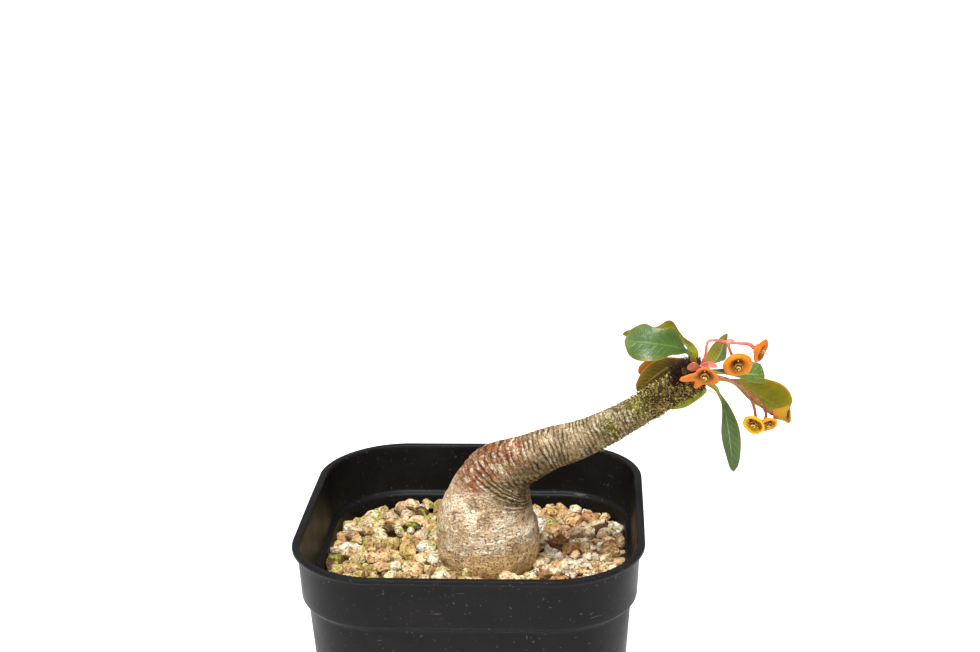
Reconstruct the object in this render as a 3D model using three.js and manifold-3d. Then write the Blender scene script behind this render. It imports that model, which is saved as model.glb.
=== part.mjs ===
// A dwarf euphorbia with a swollen base, leaning out of a square nursery pot dressed with gravel.
// Millimetres, +Z up, origin at the centre of the pot's underside.
import * as THREE from 'three';
import { mergeVertices } from 'three/addons/utils/BufferGeometryUtils.js';
import Module from 'manifold-3d';

const wasm = await Module();
wasm.setup();

// ---- driving dimensions -------------------------------------------------------------------
const POT_WIDTH = 90; // across the lip
const POT_HEIGHT = 80;
const POT_CORNER = 23.8; // corner radius of the lip
const POT_WALL = 0.9;
const POT_FLOOR = 1.6;
const LIP_OVERHANG = 1.3;
const LIP_THICKNESS = 1.2;
const COLLAR_DEPTH = 14.5; // from the rim down to the step
const COLLAR_TAPER = 0.7;
const COLLAR_STEP = 1.5;
const BODY_DRAFT = 0.07; // the wall leans in by this share of its height
const EDGE = 0.8; // small rounding of the moulded edges
const DRAIN_SLOTS = 8;
const DRAIN_WIDTH = 3;
const DRAIN_LENGTH = 15;
const DRAIN_INSET = 5; // from the slot's outer end to the wall

const GRAVEL_DROP = 19; // from the rim down to the gravel
const GRAVEL_DEPTH = 13;
const STONE_PITCH = 9.4;
const STONE_RADIUS = 4.3;

const CAUDEX_X = 3.7;
const CAUDEX_Y = 7;
const CAUDEX_RADIUS = 14;
const STEM_RADIUS = 3.7;
const STEM_REACH = 53.8; // sideways from the caudex to the crown
const CROWN_HEIGHT = 54.2; // from the gravel up to the crown
const ROOT_RADIUS = 2.6;

const LEAF_THICKNESS = 0.6;
const PETIOLE_WIDTH = 1.1;
const STALK_RADIUS = 0.45;
const BRACT_THICKNESS = 0.45;
const CUP_RADIUS = 1.15;
const CUP_HEIGHT = 1.9;

const FIT_GAP = 0.3; // between pieces that touch

// ---- levels and places worked out from them -----------------------------------------------
const rimHalf = POT_WIDTH / 2;
const cornerCentre = rimHalf - POT_CORNER;
const collarTop = rimHalf - LIP_OVERHANG;
const collarBottom = collarTop - COLLAR_TAPER;
const bodyTop = collarBottom - COLLAR_STEP;
const collarZ = POT_HEIGHT - COLLAR_DEPTH;
const gravelTop = POT_HEIGHT - GRAVEL_DROP;
const gravelBottom = gravelTop - GRAVEL_DEPTH;
const slabTop = gravelTop - 0.3 * STONE_RADIUS; // the pebbles stand out of the bed above this
const crown = new THREE.Vector3(CAUDEX_X + STEM_REACH, CAUDEX_Y - 4.5, gravelTop + CROWN_HEIGHT);

const bodyHalf = (z) => bodyTop - BODY_DRAFT * (collarZ - z);
const cavityHalf = (z) => bodyHalf(z) - POT_WALL;

// ---- shape tools ----------------------------------------------------------------------------

// Repeatable random numbers from 0 to 1.
function randomFrom(seed) {
  let state = seed >>> 0;
  return () => {
    state = (state + 0x6d2b79f5) >>> 0;
    let t = Math.imul(state ^ (state >>> 15), 1 | state);
    t = (t + Math.imul(t ^ (t >>> 7), 61 | t)) ^ t;
    return ((t ^ (t >>> 14)) >>> 0) / 4294967296;
  };
}

// A closed solid through rings of points with the same even count. Both ends are capped by
// strips across the ring, which suits a round section as well as a thin curved one.
function loft(rings) {
  const count = rings[0].length;
  const positions = rings.flat().flatMap((p) => [p.x, p.y, p.z]);
  const faces = [];
  for (let k = 0; k + 1 < rings.length; k++) {
    for (let j = 0; j < count; j++) {
      const a = k * count + j;
      const b = k * count + ((j + 1) % count);
      faces.push(a, b, b + count, a, b + count, a + count);
    }
  }
  const last = (rings.length - 1) * count;
  for (let j = 0; j < count / 2 - 1; j++) {
    const far = count - 1 - j;
    faces.push(j, far, j + 1, j + 1, far, far - 1);
    faces.push(last + j, last + j + 1, last + far, last + j + 1, last + far - 1, last + far);
  }
  const geometry = new THREE.BufferGeometry();
  geometry.setAttribute('position', new THREE.Float32BufferAttribute(positions, 3));
  geometry.setIndex(signedVolume(positions, faces) < 0 ? faces.reverse() : faces);
  return geometry;
}

function signedVolume(positions, faces) {
  const point = (i) => new THREE.Vector3().fromArray(positions, 3 * i);
  let sum = 0;
  for (let i = 0; i < faces.length; i += 3) {
    sum += point(faces[i]).dot(point(faces[i + 1]).cross(point(faces[i + 2])));
  }
  return sum / 6;
}

// The outline of a square with round corners, at height z.
function roundedSquare(half, z, stepsPerCorner = 8) {
  const radius = Math.max(half - cornerCentre, 1);
  const centre = half - radius;
  const ring = [];
  for (let corner = 0; corner < 4; corner++) {
    const middle = Math.PI / 4 + (corner * Math.PI) / 2;
    const [cx, cy] = [Math.sign(Math.cos(middle)) * centre, Math.sign(Math.sin(middle)) * centre];
    for (let i = 0; i <= stepsPerCorner; i++) {
      const angle = middle + (i / stepsPerCorner - 0.5) * (Math.PI / 2);
      ring.push(new THREE.Vector3(cx + radius * Math.cos(angle), cy + radius * Math.sin(angle), z));
    }
  }
  return ring;
}

function toSolid(geometry) {
  const bare = geometry.clone();
  bare.deleteAttribute('normal');
  bare.deleteAttribute('uv');
  const merged = mergeVertices(bare, 1e-3);
  const vertProperties = merged.attributes.position.array;
  const triVerts = new Uint32Array(merged.index.array);
  return new wasm.Manifold(new wasm.Mesh({ numProp: 3, vertProperties, triVerts }));
}

function toGeometry(solid) {
  const mesh = solid.getMesh();
  const geometry = new THREE.BufferGeometry();
  geometry.setAttribute('position', new THREE.BufferAttribute(mesh.vertProperties, 3));
  geometry.setIndex(new THREE.BufferAttribute(mesh.triVerts, 1));
  return geometry;
}

const joined = (solids) => solids.reduce((sum, next) => sum.add(next));

const object = new THREE.Group();
function addPiece(name, geometry, { color, roughness = 0.7, metalness = 0 }) {
  const material = new THREE.MeshStandardMaterial({ color, roughness, metalness });
  const mesh = new THREE.Mesh(geometry, material);
  mesh.name = name;
  object.add(mesh);
}

// ---- pot --------------------------------------------------------------------------------------

// One moulded shell: up the outside, over the lip and down the inside to the floor.
function potShell() {
  const lipUnder = POT_HEIGHT - LIP_THICKNESS;
  const profile = [
    [bodyHalf(EDGE) - EDGE, 0],
    [bodyHalf(EDGE), EDGE],
    [bodyHalf(collarZ - EDGE), collarZ - EDGE],
    [collarBottom - EDGE / 2, collarZ - EDGE / 3],
    [collarBottom, collarZ + EDGE / 3],
    [collarTop, lipUnder - EDGE / 2],
    [rimHalf - EDGE / 3, lipUnder],
    [rimHalf, lipUnder + LIP_THICKNESS / 3],
    [rimHalf, POT_HEIGHT - LIP_THICKNESS / 3],
    [rimHalf - EDGE / 2, POT_HEIGHT],
    [collarTop - POT_WALL + EDGE / 2, POT_HEIGHT],
    [collarTop - POT_WALL, POT_HEIGHT - EDGE / 2],
    [collarBottom - POT_WALL, collarZ + EDGE],
    [collarBottom - POT_WALL - EDGE / 3, collarZ + EDGE / 3],
    [cavityHalf(collarZ - EDGE) + EDGE / 3, collarZ],
    [cavityHalf(collarZ - EDGE), collarZ - EDGE],
    [cavityHalf(POT_FLOOR + EDGE), POT_FLOOR + EDGE],
    [cavityHalf(POT_FLOOR + EDGE) - EDGE, POT_FLOOR],
  ];
  return loft(profile.map(([half, z]) => roundedSquare(half, z)));
}

// Radial drain slots through the floor, open straight down.
function drainCutters() {
  const outer = bodyHalf(0) - DRAIN_INSET;
  return Array.from({ length: DRAIN_SLOTS }, (_, i) => {
    const slot = new THREE.BoxGeometry(DRAIN_LENGTH, DRAIN_WIDTH, 4 * POT_FLOOR);
    slot.translate(outer - DRAIN_LENGTH / 2, 0, 0);
    slot.rotateZ(((i + 0.5) * 2 * Math.PI) / DRAIN_SLOTS);
    return toSolid(slot);
  });
}

const pot = toSolid(potShell()).subtract(joined(drainCutters()));
addPiece('pot', toGeometry(pot), { color: 0x232529, roughness: 0.55 });

// ---- caudex and stem ------------------------------------------------------------------------

// Stations from the root tip to the crown: the share of STEM_REACH, the sideways drift in
// millimetres, the share of CROWN_HEIGHT above the gravel, and how swollen the stem is,
// from 0 at the plain stem to 1 at the widest caudex.
const stemStations = [
  [0, 0, -0.27, 0.2],
  [0, 0, -0.172, 0.71],
  [0, 0, -0.039, 0.865],
  [0, 0, 0.061, 0.99],
  [-0.006, 0, 0.156, 0.988],
  [-0.008, 0, 0.238, 0.935],
  [0.006, 0, 0.319, 0.799],
  [0.031, 0, 0.398, 0.675],
  [0.073, 0, 0.469, 0.538],
  [0.132, -0.5, 0.523, 0.348],
  [0.215, -1, 0.564, 0.238],
  [0.318, -1.5, 0.616, 0.185],
  [0.45, -2, 0.662, 0.132],
  [0.576, -3, 0.726, 0.077],
  [0.702, -3.5, 0.801, 0.035],
  [0.838, -4, 0.891, 0],
  [1, -4.5, 1, 0],
];

// A ring of the stem: level round the caudex's axis, tipped with the stem further up.
function stemRing(centre, tangent, radius, sides) {
  const across = new THREE.Vector3(0, 1, 0);
  const side = across.sub(tangent.clone().multiplyScalar(across.dot(tangent))).normalize();
  const front = new THREE.Vector3().crossVectors(side, tangent);
  return Array.from({ length: sides }, (_, i) => {
    const angle = ((i + 0.5) * 2 * Math.PI) / sides;
    return centre
      .clone()
      .addScaledVector(side, radius * Math.cos(angle))
      .addScaledVector(front, radius * Math.sin(angle));
  });
}

// The whole stem, grown by clearance all round so that a neighbour can be cut to fit it.
function stemSolid(clearance) {
  const sides = 18;
  const steps = 32;
  const centres = stemStations.map(
    ([reach, drift, rise]) =>
      new THREE.Vector3(
        CAUDEX_X + reach * STEM_REACH,
        CAUDEX_Y + drift,
        gravelTop + rise * CROWN_HEIGHT,
      ),
  );
  const radii = stemStations.map(
    ([, , , swell]) => new THREE.Vector3(STEM_RADIUS + swell * (CAUDEX_RADIUS - STEM_RADIUS), 0, 0),
  );
  const axis = new THREE.CatmullRomCurve3(centres);
  const girth = new THREE.CatmullRomCurve3(radii);
  const rings = [];
  const start = axis.getTangent(0);
  const tip = centres[0].clone().addScaledVector(start, -ROOT_RADIUS - clearance);
  rings.push(stemRing(tip, start, ROOT_RADIUS + clearance, sides));
  for (let i = 0; i <= steps; i++) {
    const t = i / steps;
    const radius = girth.getPoint(t).x + clearance;
    rings.push(stemRing(axis.getPoint(t), axis.getTangent(t), radius, sides));
  }
  const end = axis.getTangent(1);
  for (const angle of [0.35, 0.75, 1.15, 1.4]) {
    const round = STEM_RADIUS + clearance;
    const centre = crown.clone().addScaledVector(end, round * Math.sin(angle));
    rings.push(stemRing(centre, end, round * Math.cos(angle), sides));
  }
  return toSolid(loft(rings));
}

const stemWithGap = stemSolid(1.4 * FIT_GAP);
addPiece('caudex_stem', toGeometry(stemSolid(0)), { color: 0xa58f78, roughness: 0.85 });

// ---- potting mix and gravel -----------------------------------------------------------------

// A plug that fills the cavity between two heights, clear of the wall.
function plug(bottom, top) {
  const ring = (z) => roundedSquare(cavityHalf(z) - FIT_GAP, z);
  return toSolid(loft([ring(bottom), ring((bottom + top) / 2), ring(top)]));
}

const mix = plug(POT_FLOOR + EDGE + FIT_GAP, gravelBottom - FIT_GAP).subtract(stemWithGap);
addPiece('potting_mix', toGeometry(mix), { color: 0x4a3626, roughness: 0.95 });

// An angular pebble: an icosahedron with its corners pushed in and out, stretched and turned.
function pebble(random, radii, centre, detail) {
  const ball = new THREE.IcosahedronGeometry(1, detail);
  ball.deleteAttribute('normal');
  ball.deleteAttribute('uv');
  const stone = mergeVertices(ball, 1e-3);
  const position = stone.attributes.position;
  for (let i = 0; i < position.count; i++) {
    const push = 0.88 + 0.24 * random();
    position.setXYZ(i, push * position.getX(i), push * position.getY(i), push * position.getZ(i));
  }
  stone.scale(...radii);
  stone.rotateX((random() - 0.5) * 0.7);
  stone.rotateY((random() - 0.5) * 0.7);
  stone.rotateZ(random() * 2 * Math.PI);
  stone.translate(...centre);
  return stone;
}

// How far the cavity's wall is from the caudex's axis in a direction.
function reachToWall(angle) {
  const half = cavityHalf(gravelTop) - FIT_GAP;
  const radius = Math.max(half - cornerCentre, 1);
  const inside = (reach) => {
    const x = Math.abs(CAUDEX_X + reach * Math.cos(angle));
    const y = Math.abs(CAUDEX_Y + reach * Math.sin(angle));
    const overX = Math.max(x - (half - radius), 0);
    const overY = Math.max(y - (half - radius), 0);
    return Math.hypot(overX, overY) < radius;
  };
  let reach = 0;
  while (inside(reach + 0.1)) reach += 0.1;
  return reach;
}

// The loose stones that lie on top: the direction from the caudex in degrees, the share of the
// way from the caudex to the wall, the radii along, across and up, and the colour.
const looseStones = [
  [-178, 0.7, [3.6, 2.4, 1.3], 0xe9e4d6],
  [128, 0.6, [3.0, 2.2, 1.4], 0xefe8da],
  [26, 0.12, [2.9, 2.5, 2.2], 0x6b4630],
  [12, 0.87, [2.8, 2.2, 1.8], 0xe8e2cf],
  [-11, 0.42, [2.9, 2.2, 2.0], 0xefe9dc],
  [68, 0.8, [2.4, 2.3, 2.0], 0xf0ead8],
  [84, 0.6, [2.3, 2.0, 1.8], 0xb5804d],
  [34, 0.62, [3.6, 2.2, 2.0], 0xc9a982],
  [164, 0.56, [2.6, 2.2, 1.6], 0xcdb58c],
  [148, 0.82, [2.6, 2.0, 1.8], 0xd9c6a0],
  [-14, 0.8, [2.4, 2.0, 1.8], 0xd4bd97],
  [-158, 0.12, [2.3, 2.0, 1.7], 0xdccbb0],
];

function loosePebble(index, clearance) {
  const [degrees, share, radii] = looseStones[index];
  const random = randomFrom(100 + index);
  const angle = THREE.MathUtils.degToRad(degrees);
  const widest = Math.max(...radii) * 1.15 + 2 * FIT_GAP;
  const near = CAUDEX_RADIUS + widest;
  const far = reachToWall(angle) - widest;
  const reach = near + share * (far - near);
  const centre = [
    CAUDEX_X + reach * Math.cos(angle),
    CAUDEX_Y + reach * Math.sin(angle),
    slabTop + 0.95 * radii[2],
  ];
  const grown = radii.map((r) => r + clearance);
  return pebble(random, grown, centre, 1);
}

looseStones.forEach(([, , , color], i) => {
  const name = `stone_${String(i + 1).padStart(2, '0')}`;
  addPiece(name, loosePebble(i, 0), { color, roughness: 0.9 });
});

// The bed: a plug with a layer of half-sunk pebbles, cut to the cavity, the stem and the
// loose stones, which sit in seats of their own.
function gravelBed() {
  const random = randomFrom(7);
  const half = cavityHalf(gravelTop);
  const rows = Math.floor((2 * half) / STONE_PITCH);
  const pebbles = [];
  for (let row = 0; row <= rows; row++) {
    for (let column = 0; column <= rows; column++) {
      const jitter = () => (random() - 0.5) * STONE_PITCH * 0.5;
      const x = -half + (column + (row % 2) / 2) * STONE_PITCH + jitter();
      const y = -half + row * STONE_PITCH + jitter();
      const size = STONE_RADIUS * (0.75 + 0.4 * random());
      const radii = [size, size * 0.85, size * 0.75];
      pebbles.push(toSolid(pebble(random, radii, [x, y, slabTop + 0.1 * size], 0)));
    }
  }
  const seats = looseStones.map((_, i) => toSolid(loosePebble(i, 1.5 * FIT_GAP)));
  const heap = joined(pebbles)
    .add(plug(gravelBottom, slabTop))
    .intersect(plug(gravelBottom, gravelTop + 2 * STONE_RADIUS))
    .subtract(stemWithGap)
    .subtract(joined(seats));
  return heap.decompose().sort((a, b) => b.volume() - a.volume())[0];
}

addPiece('gravel_bed', toGeometry(gravelBed()), { color: 0xcbb89a, roughness: 0.92 });

// ---- leaves -----------------------------------------------------------------------------------

// Where a petiole or stalk meets the crown, in a direction from its centre.
function crownSeat(direction, clearance) {
  const out = new THREE.Vector3(...direction).normalize();
  return crown.clone().addScaledVector(out, STEM_RADIUS + FIT_GAP + clearance);
}

// Offsets from a start point as one smooth curve.
function curveFrom(start, offsets) {
  return new THREE.CatmullRomCurve3([
    start,
    ...offsets.map((offset) => start.clone().add(new THREE.Vector3(...offset))),
  ]);
}

// A leaf is a thin sheet along its midrib. At the share u of its length its half width is
// u^taper (1 - u)^blunt, scaled to the leaf's width, and its upper side looks towards face,
// which turns evenly from the first direction to the last. The blade is cupped and wavy.
function leafGeometry({ seat, midrib, face, width, taper, blunt, cup = 0.1, wave = 0 }) {
  const steps = 8;
  const across = [-1, -0.5, 0, 0.5, 1];
  const start = crownSeat(seat, LEAF_THICKNESS / 2);
  const curve = curveFrom(start, midrib);
  const widest = taper / (taper + blunt);
  const peak = widest ** taper * (1 - widest) ** blunt;
  const facing = face.map((direction) => new THREE.Vector3(...direction).normalize());
  const rings = [];
  for (let i = 0; i <= steps; i++) {
    const u = i / steps;
    const shape = (u ** taper * (1 - u) ** blunt) / peak;
    const half = (PETIOLE_WIDTH / 2) * (1 - u) + 0.2 * u + ((width - 0.4) / 2) * shape;
    const tangent = curve.getTangent(u);
    const turn = u * (facing.length - 1);
    const from = Math.min(Math.floor(turn), facing.length - 2);
    const looks = facing[from].clone().lerp(facing[from + 1], turn - from);
    const side = new THREE.Vector3().crossVectors(tangent, looks).normalize();
    const normal = new THREE.Vector3().crossVectors(side, tangent);
    const row = (lift) =>
      across.map((v) => {
        const ripple = wave * shape * v * v * Math.sin(3 * Math.PI * u + (v > 0 ? Math.PI : 0));
        return curve
          .getPoint(u)
          .addScaledVector(side, v * half)
          .addScaledVector(normal, cup * v * v * half + ripple + lift);
      });
    rings.push([...row(LEAF_THICKNESS / 2), ...row(-LEAF_THICKNESS / 2).reverse()]);
  }
  return loft(rings);
}

// seat: direction from the crown's centre; midrib: offsets from the seat to the tip.
const leaves = [
  {
    seat: [0.26, -0.28, 0.93],
    midrib: [[-2.2, -2.8, 4.7], [-8.7, -6.3, 7.7], [-18.6, -6.3, 8.7]],
    face: [[-0.3, -0.6, 0.6], [-0.1, -0.8, 0.5]],
    width: 10.2, taper: 1.3, blunt: 0.55, wave: 0.7,
  },
  {
    seat: [0.32, 0.3, 0.9],
    midrib: [[-2.1, 2.2, 4.6], [-8.7, 5.2, 6.3], [-19.1, 5.2, 6.2]],
    face: [[0.3, 0.6, 0.6], [0.1, 0.8, 0.5]],
    width: 9.5, taper: 1.1, blunt: 0.6, wave: 0.8,
  },
  {
    seat: [-0.05, 0.4, 0.91],
    midrib: [[-5.4, 3.5, -0.9], [-14.3, 4.5, -8.4]],
    face: [[0, 0.9, 0.4], [0.1, 0.9, 0.3]],
    width: 7.6, taper: 1.3, blunt: 0.8,
  },
  {
    seat: [-0.05, 0.96, 0.25],
    midrib: [[-5.4, 6.6, 0.9], [-13.2, 9.8, -3.2]],
    face: [[0, 0.9, 0.4], [0.1, 0.9, 0.3]],
    width: 7, taper: 1.5, blunt: 0.6,
  },
  {
    seat: [0.43, 0.76, -0.48],
    midrib: [[-1.9, 3.3, -4.4], [-6.9, 6.3, -10]],
    face: [[0.3, 0.9, 0.3], [0.3, 0.9, 0.3]],
    width: 5.8, taper: 0.9, blunt: 0.7,
  },
  {
    seat: [0.92, -0.35, -0.16],
    midrib: [[3.1, -2, -2.3], [5.3, -3, -10.4], [7.2, -3, -23.5]],
    face: [[0.6, 0.75, 0.2], [0.8, -0.5, 0.2], [0.2, -0.9, 0.1], [0.2, -0.9, 0]],
    width: 4.8, taper: 1, blunt: 0.9,
  },
  {
    seat: [0.61, 0.51, 0.61],
    midrib: [[3.6, 3.4, 1.7], [6.5, 5.4, 7.3]],
    face: [[-0.7, -0.3, 0.5], [-0.7, -0.3, 0.5]],
    width: 5.5, taper: 1, blunt: 0.8,
  },
  {
    seat: [0.89, 0.28, 0.34],
    midrib: [[8.1, 3.3, -1.7], [15.1, 5.3, -2.7]],
    face: [[0, 0.2, 0.9], [-0.3, -0.7, 0.7]],
    width: 6.5, taper: 1.5, blunt: 0.55,
  },
  {
    seat: [0.89, 0.46, -0.04],
    midrib: [[9.3, 4.6, -3.6], [15.8, 6.6, -8], [22.4, 7.6, -12.6]],
    face: [[0.2, 0.6, 0.8], [0.2, 0.9, 0.3]],
    width: 11, taper: 1.7, blunt: 0.6,
  },
  {
    seat: [-0.3, -0.6, 0.75],
    midrib: [[-0.8, -1.2, 0.8], [-2.2, -1.6, 1.6]],
    face: [[0, -0.9, 0.5], [0, -0.9, 0.5]],
    width: 2, taper: 1, blunt: 0.8,
  },
];

leaves.forEach((leaf, i) => {
  addPiece(`leaf_${i + 1}`, leafGeometry(leaf), { color: 0x5f8a4a, roughness: 0.45 });
});

// ---- flower stalks and flowers --------------------------------------------------------------

// One branch: a round rod along a smooth curve of offsets from the stalk's seat.
function branch(start, offsets) {
  const sides = 6;
  const section = new THREE.Shape(
    Array.from({ length: sides }, (_, i) => {
      const angle = (i * 2 * Math.PI) / sides;
      return new THREE.Vector2(STALK_RADIUS * Math.cos(angle), STALK_RADIUS * Math.sin(angle));
    }),
  );
  const route = new THREE.CatmullRomCurve3(
    offsets.map((offset) => start.clone().add(new THREE.Vector3(...offset))),
  );
  const options = { steps: 3 * offsets.length, extrudePath: route, bevelEnabled: false };
  return toSolid(new THREE.ExtrudeGeometry(section, options));
}

// The cup in the middle of a flower: a small open bell.
function cupGeometry() {
  const profile = [
    [0, 0],
    [0.6 * CUP_RADIUS, 0.08 * CUP_HEIGHT],
    [0.88 * CUP_RADIUS, 0.5 * CUP_HEIGHT],
    [CUP_RADIUS, CUP_HEIGHT],
    [0.75 * CUP_RADIUS, CUP_HEIGHT],
    [0.6 * CUP_RADIUS, 0.7 * CUP_HEIGHT],
    [0, 0.6 * CUP_HEIGHT],
  ];
  const bell = new THREE.LatheGeometry(profile.map(([r, h]) => new THREE.Vector2(r, h)), 12);
  return bell.rotateX(Math.PI / 2);
}

// One of the two bracts: a flared sheet round one half of the cup, from beside the cup out to
// the radius reach, rising by depth, with its rim drawn out in the middle by lobe.
function bractGeometry(turn, { reach, depth, lobe = 0 }) {
  const steps = 3;
  const inner = CUP_RADIUS + FIT_GAP;
  const spread = THREE.MathUtils.degToRad(83);
  const across = [-1, -0.6, -0.2, 0.2, 0.6, 1];
  const rings = [];
  for (let i = 0; i <= steps; i++) {
    const u = i / steps;
    const row = (lift) =>
      across.map((v) => {
        const angle = turn + v * spread;
        const radius = inner + (reach - inner) * u * (1 + lobe * (1 - Math.abs(v)) * u);
        const height = 0.15 * CUP_HEIGHT + depth * u ** 0.8 + lift;
        return new THREE.Vector3(radius * Math.cos(angle), radius * Math.sin(angle), height);
      });
    rings.push([...row(BRACT_THICKNESS / 2), ...row(-BRACT_THICKNESS / 2).reverse()]);
  }
  return loft(rings);
}

// Sets a flower's piece at the end of its branch, opening towards aim.
function placeFlower(geometry, at, aim, clearance) {
  const opening = new THREE.Vector3(...aim).normalize();
  const turn = new THREE.Quaternion().setFromUnitVectors(new THREE.Vector3(0, 0, 1), opening);
  const centre = at.clone().addScaledVector(opening, clearance);
  return geometry.applyQuaternion(turn).translate(...centre);
}

// Each stalk: its seat on the crown, its branches as offsets from the seat, and its flowers,
// which sit at the ends of branches.
const stalks = [
  {
    seat: [0.5, -0.53, 0.69],
    branches: [
      [[0, 0, 0], [1.6, -2.3, 5.8], [2.2, -2.3, 9.1], [7.1, -1.3, 8.5], [11.8, -0.3, 7.6], [13.3, -0.3, 6.5]],
      [[6.6, -1.3, 8.6], [8.1, -0.6, 5.2], [9.1, -0.3, 2.9]],
    ],
    flowers: [
      { branch: 1, aim: [0.05, -0.95, -0.15], reach: 3.4, depth: 1.4 },
      { branch: 0, aim: [0.85, -0.4, -0.3], reach: 2.9, depth: 2.4 },
    ],
  },
  {
    seat: [0.77, -0.46, 0.44],
    branches: [
      [[0, 0, 0], [2.5, -0.6, 0.25], [8.5, 0.4, -2.6], [12.5, 0.4, -6.2]],
      [[12.2, 0.4, -5.8], [13, -0.1, -8.4], [13.4, -0.1, -11]],
      [[12.2, 0.4, -5.8], [14.9, 1.6, -8.3], [18.4, 3.9, -10.4]],
      [[13.3, 0.8, -6.9], [14.9, 2.2, -9.8], [15.9, 3.2, -12.2]],
    ],
    flowers: [
      { branch: 1, aim: [-0.4, -0.7, -0.6], reach: 2.6, depth: 1.4 },
      { branch: 3, aim: [-0.1, -0.5, -0.85], reach: 2.4, depth: 1.6 },
      { branch: 2, aim: [0.8, -0.4, -0.3], reach: 2.5, depth: 2.2 },
    ],
  },
  {
    seat: [0.2, -0.85, 0.5],
    branches: [[[0, 0, 0], [0.6, -2, 0.9], [1.2, -3.9, 2.2]]],
    flowers: [{ branch: 0, aim: [-0.25, -0.9, -0.15], reach: 4, depth: 1.4, lobe: 0.15 }],
  },
];

let flowerCount = 0;
stalks.forEach(({ seat, branches, flowers }, i) => {
  const start = crownSeat(seat, STALK_RADIUS / 2);
  const rods = joined(branches.map((offsets) => branch(start, offsets)));
  addPiece(`flower_stalk_${i + 1}`, toGeometry(rods), { color: 0xb8504e, roughness: 0.5 });
  for (const flower of flowers) {
    flowerCount += 1;
    const end = start.clone().add(new THREE.Vector3(...branches[flower.branch].at(-1)));
    const place = (geometry) => placeFlower(geometry, end, flower.aim, FIT_GAP + 0.8 * STALK_RADIUS);
    const name = `flower_${flowerCount}`;
    const bractLook = { color: 0xc9742c, roughness: 0.5 };
    addPiece(`${name}_cup`, place(cupGeometry()), { color: 0xa8862f, roughness: 0.5 });
    addPiece(`${name}_bract_left`, place(bractGeometry(Math.PI, flower)), bractLook);
    addPiece(`${name}_bract_right`, place(bractGeometry(0, flower)), bractLook);
  }
});

export default object;
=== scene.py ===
import bmesh
import bpy
import numpy as np
from mathutils import Matrix, Vector


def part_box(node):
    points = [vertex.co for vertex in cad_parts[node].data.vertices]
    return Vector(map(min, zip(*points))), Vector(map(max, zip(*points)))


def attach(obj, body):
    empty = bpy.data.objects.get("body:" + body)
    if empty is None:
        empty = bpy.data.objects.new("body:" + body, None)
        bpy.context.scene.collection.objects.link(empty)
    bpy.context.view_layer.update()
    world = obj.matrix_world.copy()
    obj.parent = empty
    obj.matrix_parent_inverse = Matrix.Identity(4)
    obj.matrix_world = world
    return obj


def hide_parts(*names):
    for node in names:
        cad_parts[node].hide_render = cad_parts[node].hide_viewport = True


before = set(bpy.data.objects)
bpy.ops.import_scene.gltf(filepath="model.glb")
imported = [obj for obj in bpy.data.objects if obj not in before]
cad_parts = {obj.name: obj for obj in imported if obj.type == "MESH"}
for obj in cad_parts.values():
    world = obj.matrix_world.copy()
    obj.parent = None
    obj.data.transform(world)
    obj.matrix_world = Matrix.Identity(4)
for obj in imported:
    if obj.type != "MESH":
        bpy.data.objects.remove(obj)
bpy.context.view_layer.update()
MM = 0.001

# ---- pot ------------------------------------------------------------------------------------
# The square nursery pot: one shell of black polypropylene, injection moulded with a collar, a
# rolled lip and eight drain slots in its floor. Handling has scuffed it, and dust sits in it.

pot_high = np.array(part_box("pot")[1]) / MM
RIM_HALF = pot_high[0]
RIM_HEIGHT = pot_high[2]
CORNER_CENTRE = RIM_HALF - 23.8  # the round corners' axis, from the pot's own axis
WALL = 0.9
COLLAR_Z = RIM_HEIGHT - 14.5
BODY_TOP = RIM_HALF - 3.5
DRAFT = 0.07
FLOOR_TOP = 1.6
HUB = 8.0  # the middle of the floor, closed by a fan of faces
POT_COLUMNS = 384
PLASTIC_BLACK, DUST_GREY = (0.0052, 0.0047, 0.0048), (0.0145, 0.013, 0.012)
SCRATCH_GREY = (0.13, 0.125, 0.12)


def body_half(z):
    """Half the width of the pot's body at height z, which tapers evenly downwards."""
    return BODY_TOP - DRAFT * (COLLAR_Z - z)


def round_square(half, angle):
    """Distance from the axis to a square with round corners, in the direction angle: half over
    the cosine on a flat side, and the far crossing with the corner's circle elsewhere."""
    folded = np.abs((angle + np.pi / 4) % (np.pi / 2) - np.pi / 4)
    radius = half - CORNER_CENTRE
    diagonal = CORNER_CENTRE * (np.cos(folded) + np.sin(folded))
    round_part = diagonal**2 - 2 * CORNER_CENTRE**2 + radius**2
    corner = diagonal + np.sqrt(np.maximum(round_part, 0))
    flat = half / np.cos(folded)
    return np.where(half * np.tan(folded) <= CORNER_CENTRE, flat, corner)


def soften(profile, reach, steps=5):
    """Rounds every corner of a profile: a parabola from reach before the corner to reach after
    it, or to 0.45 of the side where the side is short."""
    profile = np.array(profile, float)
    sides = np.diff(profile, axis=0)
    lengths = np.linalg.norm(sides, axis=1)[:, None]
    cut = np.minimum(reach, 0.45 * lengths) / lengths * sides
    before = profile[1:-1] - cut[:-1]
    after = profile[1:-1] + cut[1:]
    t = np.linspace(0, 1, steps)[:, None, None]
    bend = (1 - t) ** 2 * before + 2 * t * (1 - t) * profile[1:-1] + t**2 * after
    return np.vstack([profile[:1], bend.transpose(1, 0, 2).reshape(-1, 2), profile[-1:]])


def refine(path, spacing):
    """Adds points along a path so that none is further than spacing from the next."""
    lengths = np.concatenate([[0], np.cumsum(np.linalg.norm(np.diff(path, axis=0), axis=1))])
    places = np.union1d(lengths, np.arange(0, lengths[-1], spacing))
    return np.stack([np.interp(places, lengths, column) for column in path.T], -1)


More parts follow.
